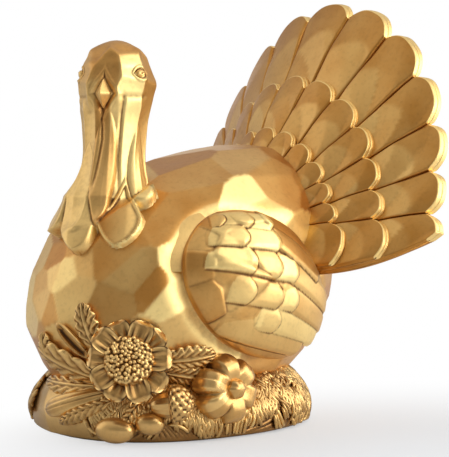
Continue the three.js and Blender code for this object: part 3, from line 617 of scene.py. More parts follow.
@dataclass
class Body:
    """The bird's body: an egg of flat facets with its rear pitched up and a dip round the wings."""

    plan: WingPlan = WingPlan()
    centre: Array = field(default_factory=lambda: np.array([0.0, -5.5, 79.5]))
    pitch: float = 28.0
    half_width: float = 70.0
    front: float = 82.0
    rear: float = 117.0
    top: float = 61.0
    under: float = 88.5
    foot: float = 24.0
    facets: int = 210
    depth: float = 0.6
    wander: float = 0.06
    tilt: float = 0.1
    # The chisel's seed for the facets' tones, picked so that pale and brown facets fall as light and shade
    # do.
    painted_light_seed: float = 2960.0
    crispness: float = 1500.0
    moat_depth: float = 3.2
    moat_width: float = 0.12
    moat_outside: float = 1.7
    # Tone of the painted highlight in the dip round the wings.
    moat_highlight_tone: float = 0.95
    rows: int = 220
    columns: int = 440

    def turn(self) -> Array:
        """The rotation from the egg's own axes to the row frame."""
        c, s = cos_sin(self.pitch)
        return np.array([[1, 0, 0], [0, c, -s], [0, s, c]])

    def axes(self, p: Array) -> Array:
        """The egg's half axes on the side where a point in its own axes lies."""
        return vec(
            np.full(p.shape[:-1], self.half_width),
            np.where(p[..., 1] < 0, self.front, self.rear),
            np.where(p[..., 2] > 0, self.top, self.under),
        )

    def reach(self, points: Array) -> Array:
        """1 on the egg, less inside: the length of a point divided by the half axes."""
        p = (points - self.centre) @ self.turn()
        return np.linalg.norm(p / self.axes(p), axis=-1)

    def normal(self, points: Array) -> Array:
        """The egg's outward normal at points: coordinates over the half axes squared."""
        p = (points - self.centre) @ self.turn()
        return unit((p / self.axes(p) ** 2) @ self.turn().T)

    def leave(self, start: Array, out: Array) -> Array:
        """How far rays from inside run before they leave the egg, by halving.

        Args:
            start: ray starts.
            out: unit directions.

        Returns:
            The distances, 0 for rays that start outside.
        """
        near = np.zeros(np.broadcast_shapes(start.shape, out.shape)[:-1])
        far = np.full(near.shape, 2 * (self.front + self.rear))
        for _ in range(36):
            middle = (near + far) / 2
            inside = self.reach(start + out * middle[..., None]) < 1
            near, far = np.where(inside, middle, near), np.where(inside, far, middle)
        return near

    def planes(self) -> tuple[Array, Array]:
        """The facets: tangent planes at evenly spread directions, knocked about and tilted by the chisel.

        A plane touches the egg where the half axes squared times its normal point, and is then turned about
        that place by the tilt.

        Returns:
            Normals in the row frame and distances from the egg's centre.
        """
        i = np.arange(self.facets)
        normal = unit(sown(self.facets) + self.wander * knock(i, 1))
        axes = self.axes(normal)
        reach = np.linalg.norm(normal * axes, axis=-1)
        touch = normal * axes**2 / reach[:, None]
        tilted = unit(normal + self.tilt * knock(i, 8))
        distance = (tilted * touch).sum(-1) + self.depth * chisel(i, 4)
        return tilted @ self.turn().T, distance

    def moat(self, out: Array) -> Array:
        """The dip round the wings: a bell across each wing's outline, wider outside it.

        Args:
            out: unit directions from the egg's centre.

        Returns:
            Depths in millimetres.
        """
        far = self.half_width / np.maximum(np.abs(out[..., 0]), 0.1)
        a, b = self.plan.local(self.centre[1] + out[..., 1] * far, self.centre[2] + out[..., 2] * far)
        off = self.plan.share(a, b) - 1
        width = np.where(off > 0, self.moat_outside * self.moat_width, self.moat_width)
        return self.moat_depth * bell(off, width) * smooth(np.abs(out[..., 0]), 0.2, 0.4)

    def tones_with_painted_light(self, normal: Array) -> Array:
        """Each facet's tone: uneven by the chisel, with painted shade on facets that face up, down or to the
        left breast, and painted highlights on facets that face aside.

        Args:
            normal: facet normals.

        Returns:
            Tones from 0 to 1.
        """
        # Painted light and shade: facets on the top, underneath and on the left breast brown, the flanks
        # pale.
        uneven = chisel(np.arange(len(normal)), self.painted_light_seed)
        shade = 0.36 + 0.5 * uneven - 0.3 * smooth(normal[:, 2], 0.55, 0.85)
        shade = shade + 0.5 * smooth(np.abs(normal[:, 0]), 0.74, 0.94) - 0.5 * smooth(-normal[:, 2], 0.1, 0.4)
        return np.clip(shade - 0.18 * smooth(normal @ compass(38), 0.86, 0.96), 0, 1)

    def build(self) -> None:
        """Pours the body: along each direction the egg's planes are mixed by a high power of their closeness.

        The dip round the wings is painted pale as a highlight, except below them.
        """
        normal, distance = self.planes()
        normal = np.vstack([normal, [0, 0, -1]])
        distance = np.append(distance, self.centre[2] - self.foot)
        out = ball(*globe(self.rows, self.columns))
        pull = (normal / distance[:, None]).T.astype(np.float32)
        near = np.maximum(out.astype(np.float32) @ pull, 1e-6)
        best = near.max(-1, keepdims=True)
        weight = np.exp(self.crispness * np.log(near / best))
        total = weight.sum(-1)
        radius = 1 / (best[..., 0] * total ** (1 / self.crispness))
        dip = self.moat(out)
        # Painted highlight: the dip round the wings is painted pale, except below them.
        below = smooth(out[..., 1], 0, 0.3) * smooth(-out[..., 2], 0.05, 0.25)
        paling = 0.85 * smooth(dip / self.moat_depth, 0.2, 0.5) * (1 - below)
        tone = lerp((weight * self.tones_with_painted_light(normal)).sum(-1) / total, self.moat_highlight_tone, paling)
        rings = self.centre + out * (radius - dip)[..., None]
        Casting("body_skin", rings, BIRD_GOLD, Slot.BIRD, ("body",), tone).pour()


@dataclass
class Stand:
    """The straw mound and the felt pad under it."""

    half_width: float = 68.0
    half_length: float = 79.0
    squareness: float = 2.3
    height: float = 31.0
    pad: float = 1.0
    belly: float = 9.0
    foot_inset: float = 1.2
    top_inset: float = 14.0
    bare_bearing: float = 2.0
    bare_cut: float = 1.2
    rows: int = 70
    columns: int = 700
    tufts: int = 330
    strands: int = 6
    strand_radius: float = 1.2
    strand_gap: float = 2.3
    strand_points: int = 9
    tuft_slope: float = 30.0
    strand_slope: float = 34.0

    def outline(self, azimuth: Array) -> Array:
        """The widest plan radius at a bearing: a rounded rectangle by a power sum.

        Args:
            azimuth: bearings.

        Returns:
            Radii in millimetres.
        """
        across = np.abs(np.sin(np.radians(azimuth))) / self.half_width
        along = np.abs(np.cos(np.radians(azimuth))) / self.half_length
        return (across**self.squareness + along**self.squareness) ** (-1 / self.squareness)

    def radius(self, azimuth: Array, z: Array) -> Array:
        """The plan radius, drawn in by squares above and below the belly.

        Args:
            azimuth: bearings.
            z: heights.

        Returns:
            Radii in millimetres, 0 above the mound.
        """
        up = np.clip((z - self.belly) / (self.height - self.belly), 0, 1)
        down = np.clip((self.belly - z) / (self.belly - self.pad), 0, 1)
        radius = self.outline(azimuth) - self.top_inset * up**2 - self.foot_inset * down**2
        return np.where(z > self.height, 0, radius)

    def slope(self, azimuth: Array, v: Array) -> Array:
        """Points up the mound's side, whose height grows by a power so that rows crowd at the top.

        Args:
            azimuth: bearings.
            v: 0 at the foot, 1 at the top and 2 at the top's middle.

        Returns:
            Points in the row frame.
        """
        rise = np.minimum(v, 1)
        z = lerp(self.pad, self.height, 1 - (1 - rise) ** 1.4)
        inward = np.clip(v - 1, 0, 1)
        radius = self.radius(azimuth, np.minimum(z, self.height)) * (1 - inward)
        return compass(azimuth) * radius[..., None] + vec(0 * z, 0 * z, z)

    def strawy(self, azimuth: Array) -> Array:
        """1 where the mound is strewn with straw, 0 on the smooth rim below the leaves at the front."""
        off = np.abs(wrap(azimuth - self.bare_bearing))
        return smooth(off, 24, 36)

    def build(self) -> None:
        """Pours the mound and its straw, and dresses the pad.

        Under the straw the mound is wavy by sines of the bearing and the height, and its bare rim has flat
        cuts by the size of a slow sine.
        """
        v = np.concatenate([np.linspace(0, 1, self.rows), np.linspace(1.03, 1.9, 12)])[:, None]
        azimuth = np.degrees(turns(self.columns))[None]
        place = self.slope(azimuth, v)
        lumps = np.sin(np.radians(azimuth * 9) + 7 * v) + np.sin(np.radians(azimuth * 17) - 5 * v + 2)
        fine = np.abs(np.sin(np.radians(azimuth * 61) + 9 * np.sin(6 * v + np.radians(azimuth * 5))))
        relief = (0.35 * lumps + 0.9 * fine - 0.9) * self.strawy(azimuth) * smooth(v, 0, 0.12)
        facet = self.bare_cut * np.abs(np.sin(np.radians(azimuth * 6) + 1.5 * v)) * (1 - self.strawy(azimuth))
        rings = place + unit(place * LEVEL) * (relief - facet)[..., None]
        # Painted shade between the strands: the mound is brown under the straw and mid on its bare rim.
        tone = lerp(0.6, 0.0, self.strawy(azimuth)) + 0 * v
        Casting("mound", rings, STRAW_GOLD, Slot.ANTIQUE, ("base_mound",), tone).pour()
        straw = self.straw()
        tone = 0.55 + 0.4 * chisel(np.arange(len(straw)), 6)[:, None, None] * np.ones(straw.shape[:3])
        Casting("straw", straw, STRAW_GOLD, Slot.ANTIQUE, tone=tone, recess=0.3).pour()
        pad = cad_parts["felt_pad"]
        pad.data.materials.clear()
        pad.data.materials.append(Felt().material())

    def straw(self) -> Array:
        """Strands in tufts that lie curved over the mound: thin tubes along arcs on its slope.

        Each tuft has a place, a heading and a bend, and its strands lie side by side. A strand's arc is the
        running sum of steps whose heading turns evenly, and its ends are rounded by a fourth power.

        Returns:
            Rings of all the strands.
        """
        rng = np.random.default_rng(11)
        n = self.tufts * self.strands
        azimuth = np.repeat(rng.uniform(26, 338, self.tufts), self.strands)
        height = np.repeat(rng.uniform(0.1, 0.98, self.tufts), self.strands)
        heading = np.repeat(rng.uniform(40, 140, self.tufts), self.strands) + rng.normal(0, 7, n)
        bend = np.repeat(rng.choice([-1, 1], self.tufts) * rng.uniform(20, 70, self.tufts), self.strands)
        length = rng.uniform(7, 13, n)
        abreast = np.tile(np.arange(self.strands) - self.strands / 2, self.tufts) * self.strand_gap
        azimuth = azimuth + np.degrees(abreast * np.sin(np.radians(heading)) / self.half_width)
        height = height - abreast * np.cos(np.radians(heading)) / self.tuft_slope
        t = np.linspace(-0.5, 0.5, self.strand_points)
        way = np.radians(heading[:, None] + bend[:, None] * t)
        step = length[:, None] / (self.strand_points - 1)
        half = self.strand_points // 2
        run = np.cumsum(np.cos(way) * step, 1) - np.cos(way[:, half : half + 1]) * step * half
        rise = np.cumsum(np.sin(way) * step, 1) - np.sin(way[:, half : half + 1]) * step * half
        along = azimuth[:, None] + np.degrees(run / self.half_width)
        up = np.clip(height[:, None] + rise / self.strand_slope, 0.03, 1.0)
        path = self.slope(along, up)
        out = unit(path * LEVEL + 30 * UP * up[..., None] ** 2)
        side = unit(np.cross(unit(np.gradient(path, axis=1)), out))
        taper = self.strand_radius * np.sqrt(np.clip(1 - (1.9 * t) ** 4, 0.05, 1))
        path = path + out * (0.5 + 0.7 * np.cos(np.pi * t))[None, :, None]
        a = turns(5)[None, None, :, None]
        ring = side[:, :, None] * np.cos(a) + out[:, :, None] * np.sin(a)
        return path[:, :, None] + ring * taper[None, :, None, None]


@dataclass(frozen=True)
class Lappet:
    """One lobe of the wattle: a tongue down the neck from a root to a tip, as bearings and heights."""

    node: str
    root: tuple[float, float]
    tip: tuple[float, float]
    half: float
    fullest: float
    height: float
    ridge: float = 0.0
    hollow: float = 0.0
    tone: float = 0.6
    reach: float = 90.0
    pinch: float = 0.0

    def rise(self, azimuth: Array, z: Array, girth: Array, fillet: Array) -> tuple[Array, Array]:
        """The lobe's height over the neck and chest.

        The share across is the arc from the middle line over half an ellipse of width, and the share along
        runs down the lobe. Two planes meet in a ridge, a bowl is sunk inside a rim and has painted shade in
        it, darker on one side, and the outline is a rounded step with a round end at the reach.

        Args:
            azimuth: bearings.
            z: heights.
            girth: distance from the neck's axis.
            fillet: how far the lobe bridges the corner between neck and chest.

        Returns:
            Heights in millimetres, negative outside the lobe, and tones with painted shade in the bowl.
        """
        t = (self.root[1] - z) / (self.root[1] - self.tip[1])
        middle = lerp(self.root[0], self.tip[0], np.clip(t, 0, 1))
        narrow = np.clip(t / self.fullest, 0, 1) ** self.pinch
        half = self.half * np.minimum(fullness(np.clip(t, 0, 1), self.fullest), narrow)
        aside = np.radians(azimuth - middle) * girth
        past = np.clip((girth - self.reach) / self.half + 1, 0, None)
        inside = half - np.hypot(aside, self.half * past)
        s = aside / self.half
        top = self.height * smooth(t, 0, 0.85) - 2.0 * np.abs(s - self.ridge) * smooth(t, 0.1, 0.6) + fillet
        bowl = smooth(inside, 1.8, 3.4) * smooth(t, 0.25, 0.4)
        top = top - bowl * self.hollow * (1 + 0.5 * s)
        step = np.sqrt(smooth(inside, -0.4, 3.2))
        # Painted shade in the bowl, darker towards one side.
        tone = self.tone - bowl * (self.hollow > 0) * (0.55 - 0.5 * s)
        return np.where((t > 0) & (t < 1), (top + SUNK) * step - SUNK, -SUNK), tone


@dataclass
class Neck:
    """The neck and head with the wattle: one upright form on an axis that leans back to the head."""

    body: Body
    foot_y: float = -41.5
    radius: float = 18.2
    flare: float = 6.0
    waist: float = 168.0
    head_y: float = -35.5
    head_z: float = 188.0
    head_radius: float = 20.4
    top: float = 215.5
    hem: float = 91.0
    turn: float = 39.0
    beak_half: tuple[float, float, float] = (4.7, 7.3, 8.0)
    beak_power: float = 1.1
    beak_drop: float = 3.0
    eye_half: tuple[float, float, float] = (3.1, 1.7, 2.3)
    eye_rise: float = 8.0
    eye_spread: float = 62.0
    lappets: tuple[Lappet, ...] = (
        Lappet("wattle_centre", (47, 180), (49.5, 111), 8.0, 0.5, 5.0, 0.1, tone=0.3),
        Lappet("wattle_inner_left", (91, 151), (66, 102.5), 11.5, 0.7, 5.6, 0.25, 2.6, 0.85, pinch=1.8),
        Lappet("wattle_inner_right", (8, 160), (32, 98), 11.5, 0.76, 5.2, -0.25),
        Lappet("wattle_outer_left", (108, 170), (104, 112), 8.0, 0.75, 3.8, 0.1, tone=0.8, reach=34),
        Lappet("wattle_outer_right", (-16, 160), (-20, 106), 10.5, 0.75, 4.6, 0.2, reach=40),
    )
    strip_levels: tuple[float, ...] = (184, 150, 128, 105)
    strip_middles: tuple[tuple[float, ...], ...] = (
        (-60, -60, -58, -55), (-22, -20, -20, -22), (8, 14, 18, 10), (38, 46, 50, 47), (62, 64, 66, 58),
        (88, 85, 86, 76), (124, 112, 106, 104), (158, 150, 148, 146), (-170, -174, -174, -174),
        (-136, -138, -136, -136), (-98, -100, -98, -96),
    )
    # Tones of painted light and shade, listed for the strips in order.
    strip_painted_light: tuple[float, ...] = (0.4, 0.55, 0.5, 0.1, 0.75, 0.95, 0.6, 0.45, 0.5, 0.4, 0.55)
    # Tones of painted light and shade, listed for the head's cuts, with the crown in shade.
    head_painted_light: tuple[float, ...] = (
        0.45, 0.5, 0.45, 1.0, 0.5, 0.4, 0.5, 0.4, 0.5,
        0.45, 0.35, 0.15, 1.0, 0.2, 0.45, 0.4, 0.5, 0.4,
        0.08, 0.08, 0.15, 0.3, 0.35,
    )
    fillet: float = 22.0
    rows: int = 250
    columns: int = 330

    def seat(self) -> float:
        """The height at which the neck's axis leaves the body."""
        start = np.array([0, self.foot_y, self.body.centre[2]])
        return float(start[2] + self.body.leave(start, UP))

    def girth(self, z: Array) -> Array:
        """The form's radius: a waist, a round head above as a quarter ellipse, and a flare below by a cube.

        Args:
            z: heights.

        Returns:
            Radii in millimetres.
        """
        above = (z - self.head_z) / (self.top - self.head_z)
        dome = self.head_radius * np.sqrt(np.clip(1 - above**2, 0, 1))
        low = lerp(self.radius, self.head_radius, smooth(z, self.waist, self.head_z))
        low = low + self.flare * np.clip((self.waist - z) / (self.waist - self.seat()), 0, 1) ** 3
        return np.where(z > self.head_z, dome, low)

    def axis(self, z: Array) -> Array:
        """The leaning axis at a height."""
        share = np.clip((z - self.seat()) / (self.head_z - self.seat()), 0, 1)
        return vec(0 * z, lerp(self.foot_y, self.head_y, share), z)

    def surface(self, azimuth: Array, z: Array) -> Array:
        """Points of the smooth form."""
        return self.axis(z) + compass(azimuth) * self.girth(z)[..., None]

    def strips(self, azimuth: Array, z: Array) -> tuple[Array, Array]:
        """Tall flat strips down the neck.

        Round a level section the radius of a flat strip grows as one over the cosine from its middle, and
        neighbouring strips are mixed by the squared angles from their middles, which wander with height.

        Args:
            azimuth: bearings.
            z: heights.

        Returns:
            Heights above the round form, and tones of painted light and shade, listed for each strip.
        """
        lines = [np.interp(z, self.strip_levels[::-1], row[::-1]) for row in self.strip_middles]
        away = np.stack(np.broadcast_arrays(*(wrap(azimuth - line) for line in lines)), -1)
        weight = shares(away**2, 40)
        flat = 1 / np.cos(np.radians(np.clip(away, -50, 50))) - 1
        waist = 4.5 * bell(z - 146, 22) * np.clip(np.cos(np.radians(azimuth + 48)), 0, 1)
        height = self.girth(z) * (1.5 * (weight * flat).sum(-1) - 0.02) - waist
        # Each strip's tone is a painted light or shade.
        return height, (weight * np.array(self.strip_painted_light)).sum(-1)

    def cuts(self) -> tuple[Array, Array]:
        """The chisel's broad cuts round the head, in two rings and a crown.

        Returns:
            Centres on the form and normals there.
        """
        ring = np.array([-45.0, -10, 39, 84, 122, 160, 198, 236, 274])
        crown = np.array([10.0, 84, 160, 232, 300])
        spots = [(ring, 184.0), (ring + 4, 199.0), (crown, 209.0)]
        azimuth = np.concatenate([a for a, _ in spots])
        z = np.concatenate([np.full(len(a), level) for a, level in spots])
        z = z + 2.0 * chisel(np.arange(len(z)), 5)
        ahead = self.surface(azimuth + 4, z) - self.surface(azimuth - 4, z)
        above = self.surface(azimuth, z + 2) - self.surface(azimuth, z - 2)
        tilt = 0.05 * knock(np.arange(len(z)), 7)
        return self.surface(azimuth, z), unit(unit(np.cross(ahead, above)) + tilt)

    def face(self, azimuth: Array, z: Array) -> Array:
        """Relief of the face: a diamond frame round the beak, lids and brows, and grooves down the throat.

        A diamond metric sums the sideways and upright distances from the beak, an almond one the square of
        the sideways and the upright one from an eye, and each feature is a bell or a trough at one value.

        Args:
            azimuth: bearings.
            z: heights.

        Returns:
            Heights above the form.
        """
        aside = wrap(azimuth - self.turn)
        s = np.radians(aside) * self.head_radius
        up = z - self.head_z
        diamond = np.abs(s) / 6.4 + np.abs(up + self.beak_drop) / 10.5
        relief = 0.4 * bell(diamond - 1.3, 0.2) - 0.75 * bell(diamond - 0.85, 0.2)
        for side in (-1, 1):
            eye = s - side * np.radians(self.eye_spread) * self.head_radius
            almond = (eye / 5.4) ** 2 + np.abs(up - self.eye_rise) / 3.7
            relief += 0.6 * bell(almond - 1.0, 0.2) - 0.7 * bell(almond - 0.66, 0.16)
            brow = np.hypot((s - side * 15.5) / 10, (up - self.eye_rise - 5.5) / 2.6)
            jowl = smooth(side * s, 9, 12) * smooth(30 - side * s, 0, 6)
            relief += 0.9 * bell(brow, 1) - 0.45 * jowl * bell(up + 4.5, 1.6)
        for path, level, depth in (((-6, 2, -3), (183, 160, 128), 1.2), ((33, 33, 36), (184, 150, 127), 1.0)):
            line = np.interp(z, level[::-1], path[::-1])
            near = np.radians(aside - line) * self.head_radius
            relief -= depth * bell(near, 1.3) * smooth(z, 126, 140) * smooth(186 - z, 0, 6)
        return relief

    def build(self) -> None:
        """Pours the neck with its chiselled planes and lobes, then the beak and the eyes.

        Down to the chest the form is the neck or the body, whichever stands further out. Planes, face and
        lobes are heights along its normal, and outside the lobes it dips under the body's facets.
        """
        azimuth = np.degrees(turns(self.columns))[None]
        bearing = wrap(azimuth)
        front = smooth(bearing, -62, -42) * smooth(136 - bearing, 0, 18)
        low = lerp(self.seat() - 10, self.hem, front)
        v = np.linspace(0, 1, self.rows)[:, None]
        z = low + (self.top - 0.02 - low) * (0.62 * v + 0.38 * np.sin(np.pi / 2 * v))
        bearing = bearing + 0 * z
        axis, level = self.axis(z), compass(bearing)
        girth, chest = self.girth(z), self.body.leave(axis, level) * front
        reach = np.maximum(girth, chest)
        fillet = self.fillet / 4 * np.clip(1 - np.abs(girth - chest) / self.fillet, 0, 1) ** 2
        place = axis + level * reach[..., None]
        around = np.roll(place, -1, 1) - np.roll(place, 1, 1)
        out = unit(np.cross(around, np.gradient(place, axis=0)))
        out = np.where((z > self.top - 0.6)[..., None], UP, out)
        out = unit(lerp(spread(spread(out, 12), 12), out, smooth(z, 150, 165)[..., None]))
        buried = smooth(reach - girth, 0.0, 3.0)
        centres, facings = self.cuts()
        head, share = facets(place, out, centres, facings, np.array([1, 1, 0.6]), 12.0)
        head = head * smooth(self.top - z, 0.5, 9) - 0.5
        strips, tone = self.strips(bearing, z)
        height = lerp(strips, head, smooth(z, 174, 184)) + self.face(bearing, z)
        height = height * (1 - buried)
        pairs = [lobe.rise(bearing, z, reach, fillet) for lobe in self.lappets]
        layers, tones_with_painted_light = (np.stack(both) for both in zip(*pairs))
        lobes = layers.max(0)
        height = np.maximum(height - SUNK * buried, height + lobes)
        shade = np.take_along_axis(tones_with_painted_light, layers.argmax(0)[None], 0)[0]
        # The head's cuts and the lobes take their tones of painted light and shade.
        tone = lerp(tone, (share * np.array(self.head_painted_light)).sum(-1), smooth(z, 176, 186))
        tone = lerp(tone, shade, smooth(lobes, 0.2, 1.2))
        rings = place + out * height[..., None]
        nodes = ("neck_head", *(lobe.node for lobe in self.lappets))
        Casting("neck_and_wattle", rings, BIRD_GOLD, Slot.BIRD, nodes, tone).pour()
        self.pour_beak()
        for side, name in ((1, "left"), (-1, "right")):
            self.pour_eye(side, name)

    def pour_beak(self) -> None:
        """Pours the beak: a four-sided point with a crease across it, its corners rounded by a power sum."""
        x, y, zed = np.moveaxis(ball(*globe(40, 48)), -1, 0)
        power = self.beak_power
        size = (np.abs(x) ** power + np.abs(y) ** power + np.abs(zed) ** power) ** (-1 / power)
        wide, deep, high = self.beak_half
        facing, right = compass(self.turn), compass(self.turn + 90)
        base = self.surface(np.array(self.turn), np.array(self.head_z - self.beak_drop))
        rings = base + (x * size * wide)[..., None] * right + (y * size * deep)[..., None] * facing
        rings = rings + (zed * size * high)[..., None] * UP
        Casting("beak_point", rings, BIRD_GOLD, Slot.BIRD, ("beak",)).pour()

    def pour_eye(self, side: int, name: str) -> None:
        """Pours an eye: a low dome with a drilled pupil and a lid line.

        Args:
            side: 1 for the bird's left eye and -1 for its right.
            name: the side's name.
        """
        bearing = self.turn + side * self.eye_spread
        base = self.surface(np.array(bearing), np.array(self.head_z + self.eye_rise))
        facing, right = compass(bearing), compass(bearing + 90)
        v, a = globe(30, 32)
        level, lean = np.sin(v), np.cos(v)
        wide, deep, high = self.eye_half
        pit = 0.4 * bell(level, 0.26) * (lean > 0)
        lid = 0.25 * bell(np.sin(a) * level - 0.45, 0.12) * (lean > 0)
        out = deep * lean - pit + lid
        rings = base + (wide * level * np.cos(a))[..., None] * right + out[..., None] * facing
        rings = rings + (high * level * np.sin(a))[..., None] * UP
        Casting(f"eye_ball_{name}", rings, BIRD_GOLD, Slot.BIRD, (f"eye_{name}",)).pour()


@dataclass
class Creeper:
    """A piece that creeps over the ground from a root to a tip, each given as bearing and height."""

    ground: Ground
    root: tuple[float, float]
    tip: tuple[float, float]
    half_width: float
    thickness: float
    fullest: float = 0.5
    rise: float = 0.0
    lift: float = 0.0
    edge: Callable[[Array], Array] = np.ones_like
    relief: Callable[[Array, Array], Array] = lambda v, s: 0 * v * s
    rows: int = 72
    columns: int = 48

    def along(self, v: Array) -> tuple[Array, Array]:
        """Bearing and height a share of the way along."""
        return lerp(self.root[0], self.tip[0], v), lerp(self.root[1], self.tip[1], v)

    def rings(self) -> Array:
        """Lens-shaped rings square to the path, with relief on the upper side.

        Half width and thickness follow half an ellipse on each side of the fullest place. The relief is a
        height for the share along and the share across, faded out round the edge.

        Returns:
            Rings of points.
        """
        v = poles(self.rows)
        azimuth, z = self.along(v)
        heading = unit(self.ground(*self.along(v + 0.03)) - self.ground(*self.along(v - 0.03)))
        out = ground_normal(self.ground, azimuth, z)
        side = unit(np.cross(heading, out))
        middle = self.ground(azimuth, z) + out * (self.rise + self.lift * v)[:, None]
        a = turns(self.columns)[None]
        full = fullness(v, self.fullest)[:, None]
        s = np.cos(a)
        wide = self.half_width * full * self.edge(v)[:, None] * s
        crown = np.clip(np.sin(a), 0, 1)
        high = self.thickness * full * np.sin(a) + self.relief(v[:, None], s) * smooth(crown, 0, 0.45) * full
        return middle[:, None] + wide[..., None] * side[:, None] + high[..., None] * out[:, None]

    def tones(self) -> Array:
        """Tones that rise with the relief and towards the edge, where the paint is rubbed.

        Returns:
            A tone for each place on the rings.
        """
        v, s = poles(self.rows)[:, None], np.cos(turns(self.columns))[None]
        high = self.relief(v, s) / self.thickness
        return np.clip(0.42 + 1.2 * high + 0.4 * smooth(np.abs(s), 0.7, 1), 0, 1)


@dataclass(frozen=True)
class Shingle:
    """One feather of a wing: where its root lies in the wing's plane, its size, heading and lift."""

    root: tuple[float, float]
    length: float
    half: float
    heading: float
    lift: float

    def rise(self, a: Array, b: Array, seed: int) -> Array:
        """The feather's relief.

        It rises along its length and towards its lower edge, is tilted a little by the chisel, and rounds off
        like a pillow at its outline, whose end is an arc.

        Args:
            a: places along the wing.
            b: places square to that.
            seed: its number, for the tilt.

        Returns:
            Heights above the pad, 0 outside the feather.
        """
        c, s = cos_sin(self.heading)
        along = (a - self.root[0]) * c + (b - self.root[1]) * s
        across = ((b - self.root[1]) * c - (a - self.root[0]) * s) / self.half
        left = self.length - 0.75 * self.half * across**2 - along
        inside = np.minimum(np.minimum(left, self.half * (1 - np.abs(across))), 0.4 * (along + 5))
        hand = chisel(np.array(seed), np.array([1.0, 2.0]))
        tilt = 0.3 * hand[0] * across + 0.25 * hand[1] * (along / self.length - 0.5)
        body = self.lift * (0.3 + 0.75 * along / self.length - 0.2 * across + tilt)
        return np.clip(body, 0.1, None) * smooth(inside, -0.2, 0.9) * (0.66 + 0.34 * smooth(inside, 0, 4))


@dataclass
class Wing:
    """A folded wing: a raised pad on the flank with a chiselled shoulder, rows of coverts and long primaries.

    A row of coverts is its root in the wing's plane, its heading and the feathers' lengths.
    """

    body: Body
    side: int
    proud: float = 12.5
    edge: float = 1.6
    rear_edge: float = 5.0
    depth: float = 8.0
    shoulder_cuts: int = 7
    covert_half: float = 6.9
    covert_lift: float = 2.8
    covert_lap: float = 1.5
    coverts: tuple[tuple[float, float, float, tuple[float, ...]], ...] = (
        (-43, 16, 23, (6, 16, 12)),
        (-39, 4.5, 26, (18, 19)),
        (-35, -7, 24, (22, 15, 13)),
        (-18, -15, 23, (9, 18, 13)),
        (0, -21, 22, (15,)),
    )
    primaries: tuple[Shingle, ...] = (
        Shingle((-8, 22), 42, 6.5, 3, 3.2),
        Shingle((4, 12), 60, 8.0, 7, 3.4),
        Shingle((10, -1), 60, 8.0, 8, 3.6),
        Shingle((4, -16), 62, 8.5, 12, 3.6),
        Shingle((-10, -31), 62, 8.5, 15, 3.0),
    )
    rows: int = 230
    columns: int = 200

    def place(self, rearward: Array, upward: Array, height: Array) -> Array:
        """Points over the flank from places in the wing's own plane.

        Args:
            rearward: millimetres along the drooping wing.
            upward: millimetres square to that.
            height: millimetres above the egg.

        Returns:
            Points in the row frame.
        """
        y, z = self.body.plan.spot(rearward, upward)
        out = unit(vec(self.side * self.body.half_width, y, z) - self.body.centre)
        ground = self.body.centre + out * self.body.leave(self.body.centre, out)[..., None]
        return ground + self.body.normal(ground) * height[..., None]

    def feathers(self) -> list[Shingle]:
        """The primaries, and the coverts laid end to end along their slanting rows.

        Returns:
            The feathers in order.
        """
        laid = list(self.primaries)
        for a, b, heading, lengths in self.coverts:
            c, s = cos_sin(heading)
            for run, length in zip(np.cumsum((0, *lengths)), lengths):
                root = (a + run * c, b + run * s)
                long = length + self.covert_lap
                laid.append(Shingle(root, long, self.covert_half, heading, self.covert_lift))
        return laid

    def shoulder(self, a: Array, b: Array) -> tuple[Array, Array]:
        """Broad flat cuts on the wing's front: planes over the cells round two arcs of centres.

        Args:
            a: places along the wing.
            b: places square to that.

        Returns:
            Heights, and brown tones that paint shade on the wing's front.
        """
        n = self.shoulder_cuts
        i = np.arange(2 * n)
        ring = np.radians(100 + 160 * (i % n) / (n - 1))
        far = np.where(i < n, 0.84, 0.5)
        ca = self.body.plan.front * far * np.cos(ring)
        cb = self.body.plan.half_height * far * np.sin(ring)
        weight = shares((a[..., None] - ca) ** 2 + (b[..., None] - cb) ** 2, 14)
        lean = 0.13 * chisel(i, 1) * (a[..., None] - ca) + 0.13 * chisel(i, 2) * (b[..., None] - cb)
        # Painted shade: the shoulder's cuts are brown.
        tone = 0.2 + 0.18 * chisel(i, 5)
        return (weight * lean).sum(-1) * smooth(-a - 0.4 * np.abs(b), -10, 4), (weight * tone).sum(-1)

    def build(self) -> None:
        """Pours the wing: rings across it from front to rear, over the feathered pad and back underneath.

        The pad is an edge and a soft dome with the shoulder's cuts, and on it lies the highest feather.
        """
        plan = self.body.plan
        far = np.linspace(-1, 1, self.rows)[:, None] * (1 - 0.5 / self.rows)
        over = np.sin(np.pi / 2 * np.linspace(-1, 1, self.columns))
        turn = np.concatenate([over, np.linspace(0.97, -0.97, 20)])[None]
        power = plan.power(far, turn)
        upward = plan.half_height * (1 - np.abs(far) ** power) ** (1 / power) * turn
        rearward = far * np.where(far > 0, plan.rear, plan.front) + 0 * upward
        room = np.clip(1 - plan.share(rearward, upward) ** 2, 0, 1)
        cuts, tone = self.shoulder(rearward, upward)
        edge = self.edge + self.rear_edge * smooth(rearward, 15, 55)
        swell = edge + (self.proud - edge) * room**0.6 + cuts
        layers = np.stack([feather.rise(rearward, upward, i) for i, feather in enumerate(self.feathers())])
        shade = 0.62 + 0.34 * chisel(np.arange(len(layers)), 5)
        tone = np.where(layers.max(0) > 0.3, shade[layers.argmax(0)], tone)
        height = swell * (0.3 + 0.7 * np.sqrt(smooth(room, 0, 0.07)))
        height = height + layers.max(0) * smooth(room, 0.0, 0.05)
        under = np.arange(turn.size)[None] >= self.columns
        rings = self.place(rearward, upward, np.where(under, -self.depth, height))
        name = "left" if self.side > 0 else "right"
        Casting(f"wing_{name}_feathers", rings, BIRD_GOLD, Slot.BIRD, (f"wing_{name}",), tone, 1.5).pour()


@dataclass(frozen=True)
class Row:
    """One row of the tail: its share of the full length, how that grows aside, and its faces' depths."""

    share: float
    rise: float
    back: float
    front: float


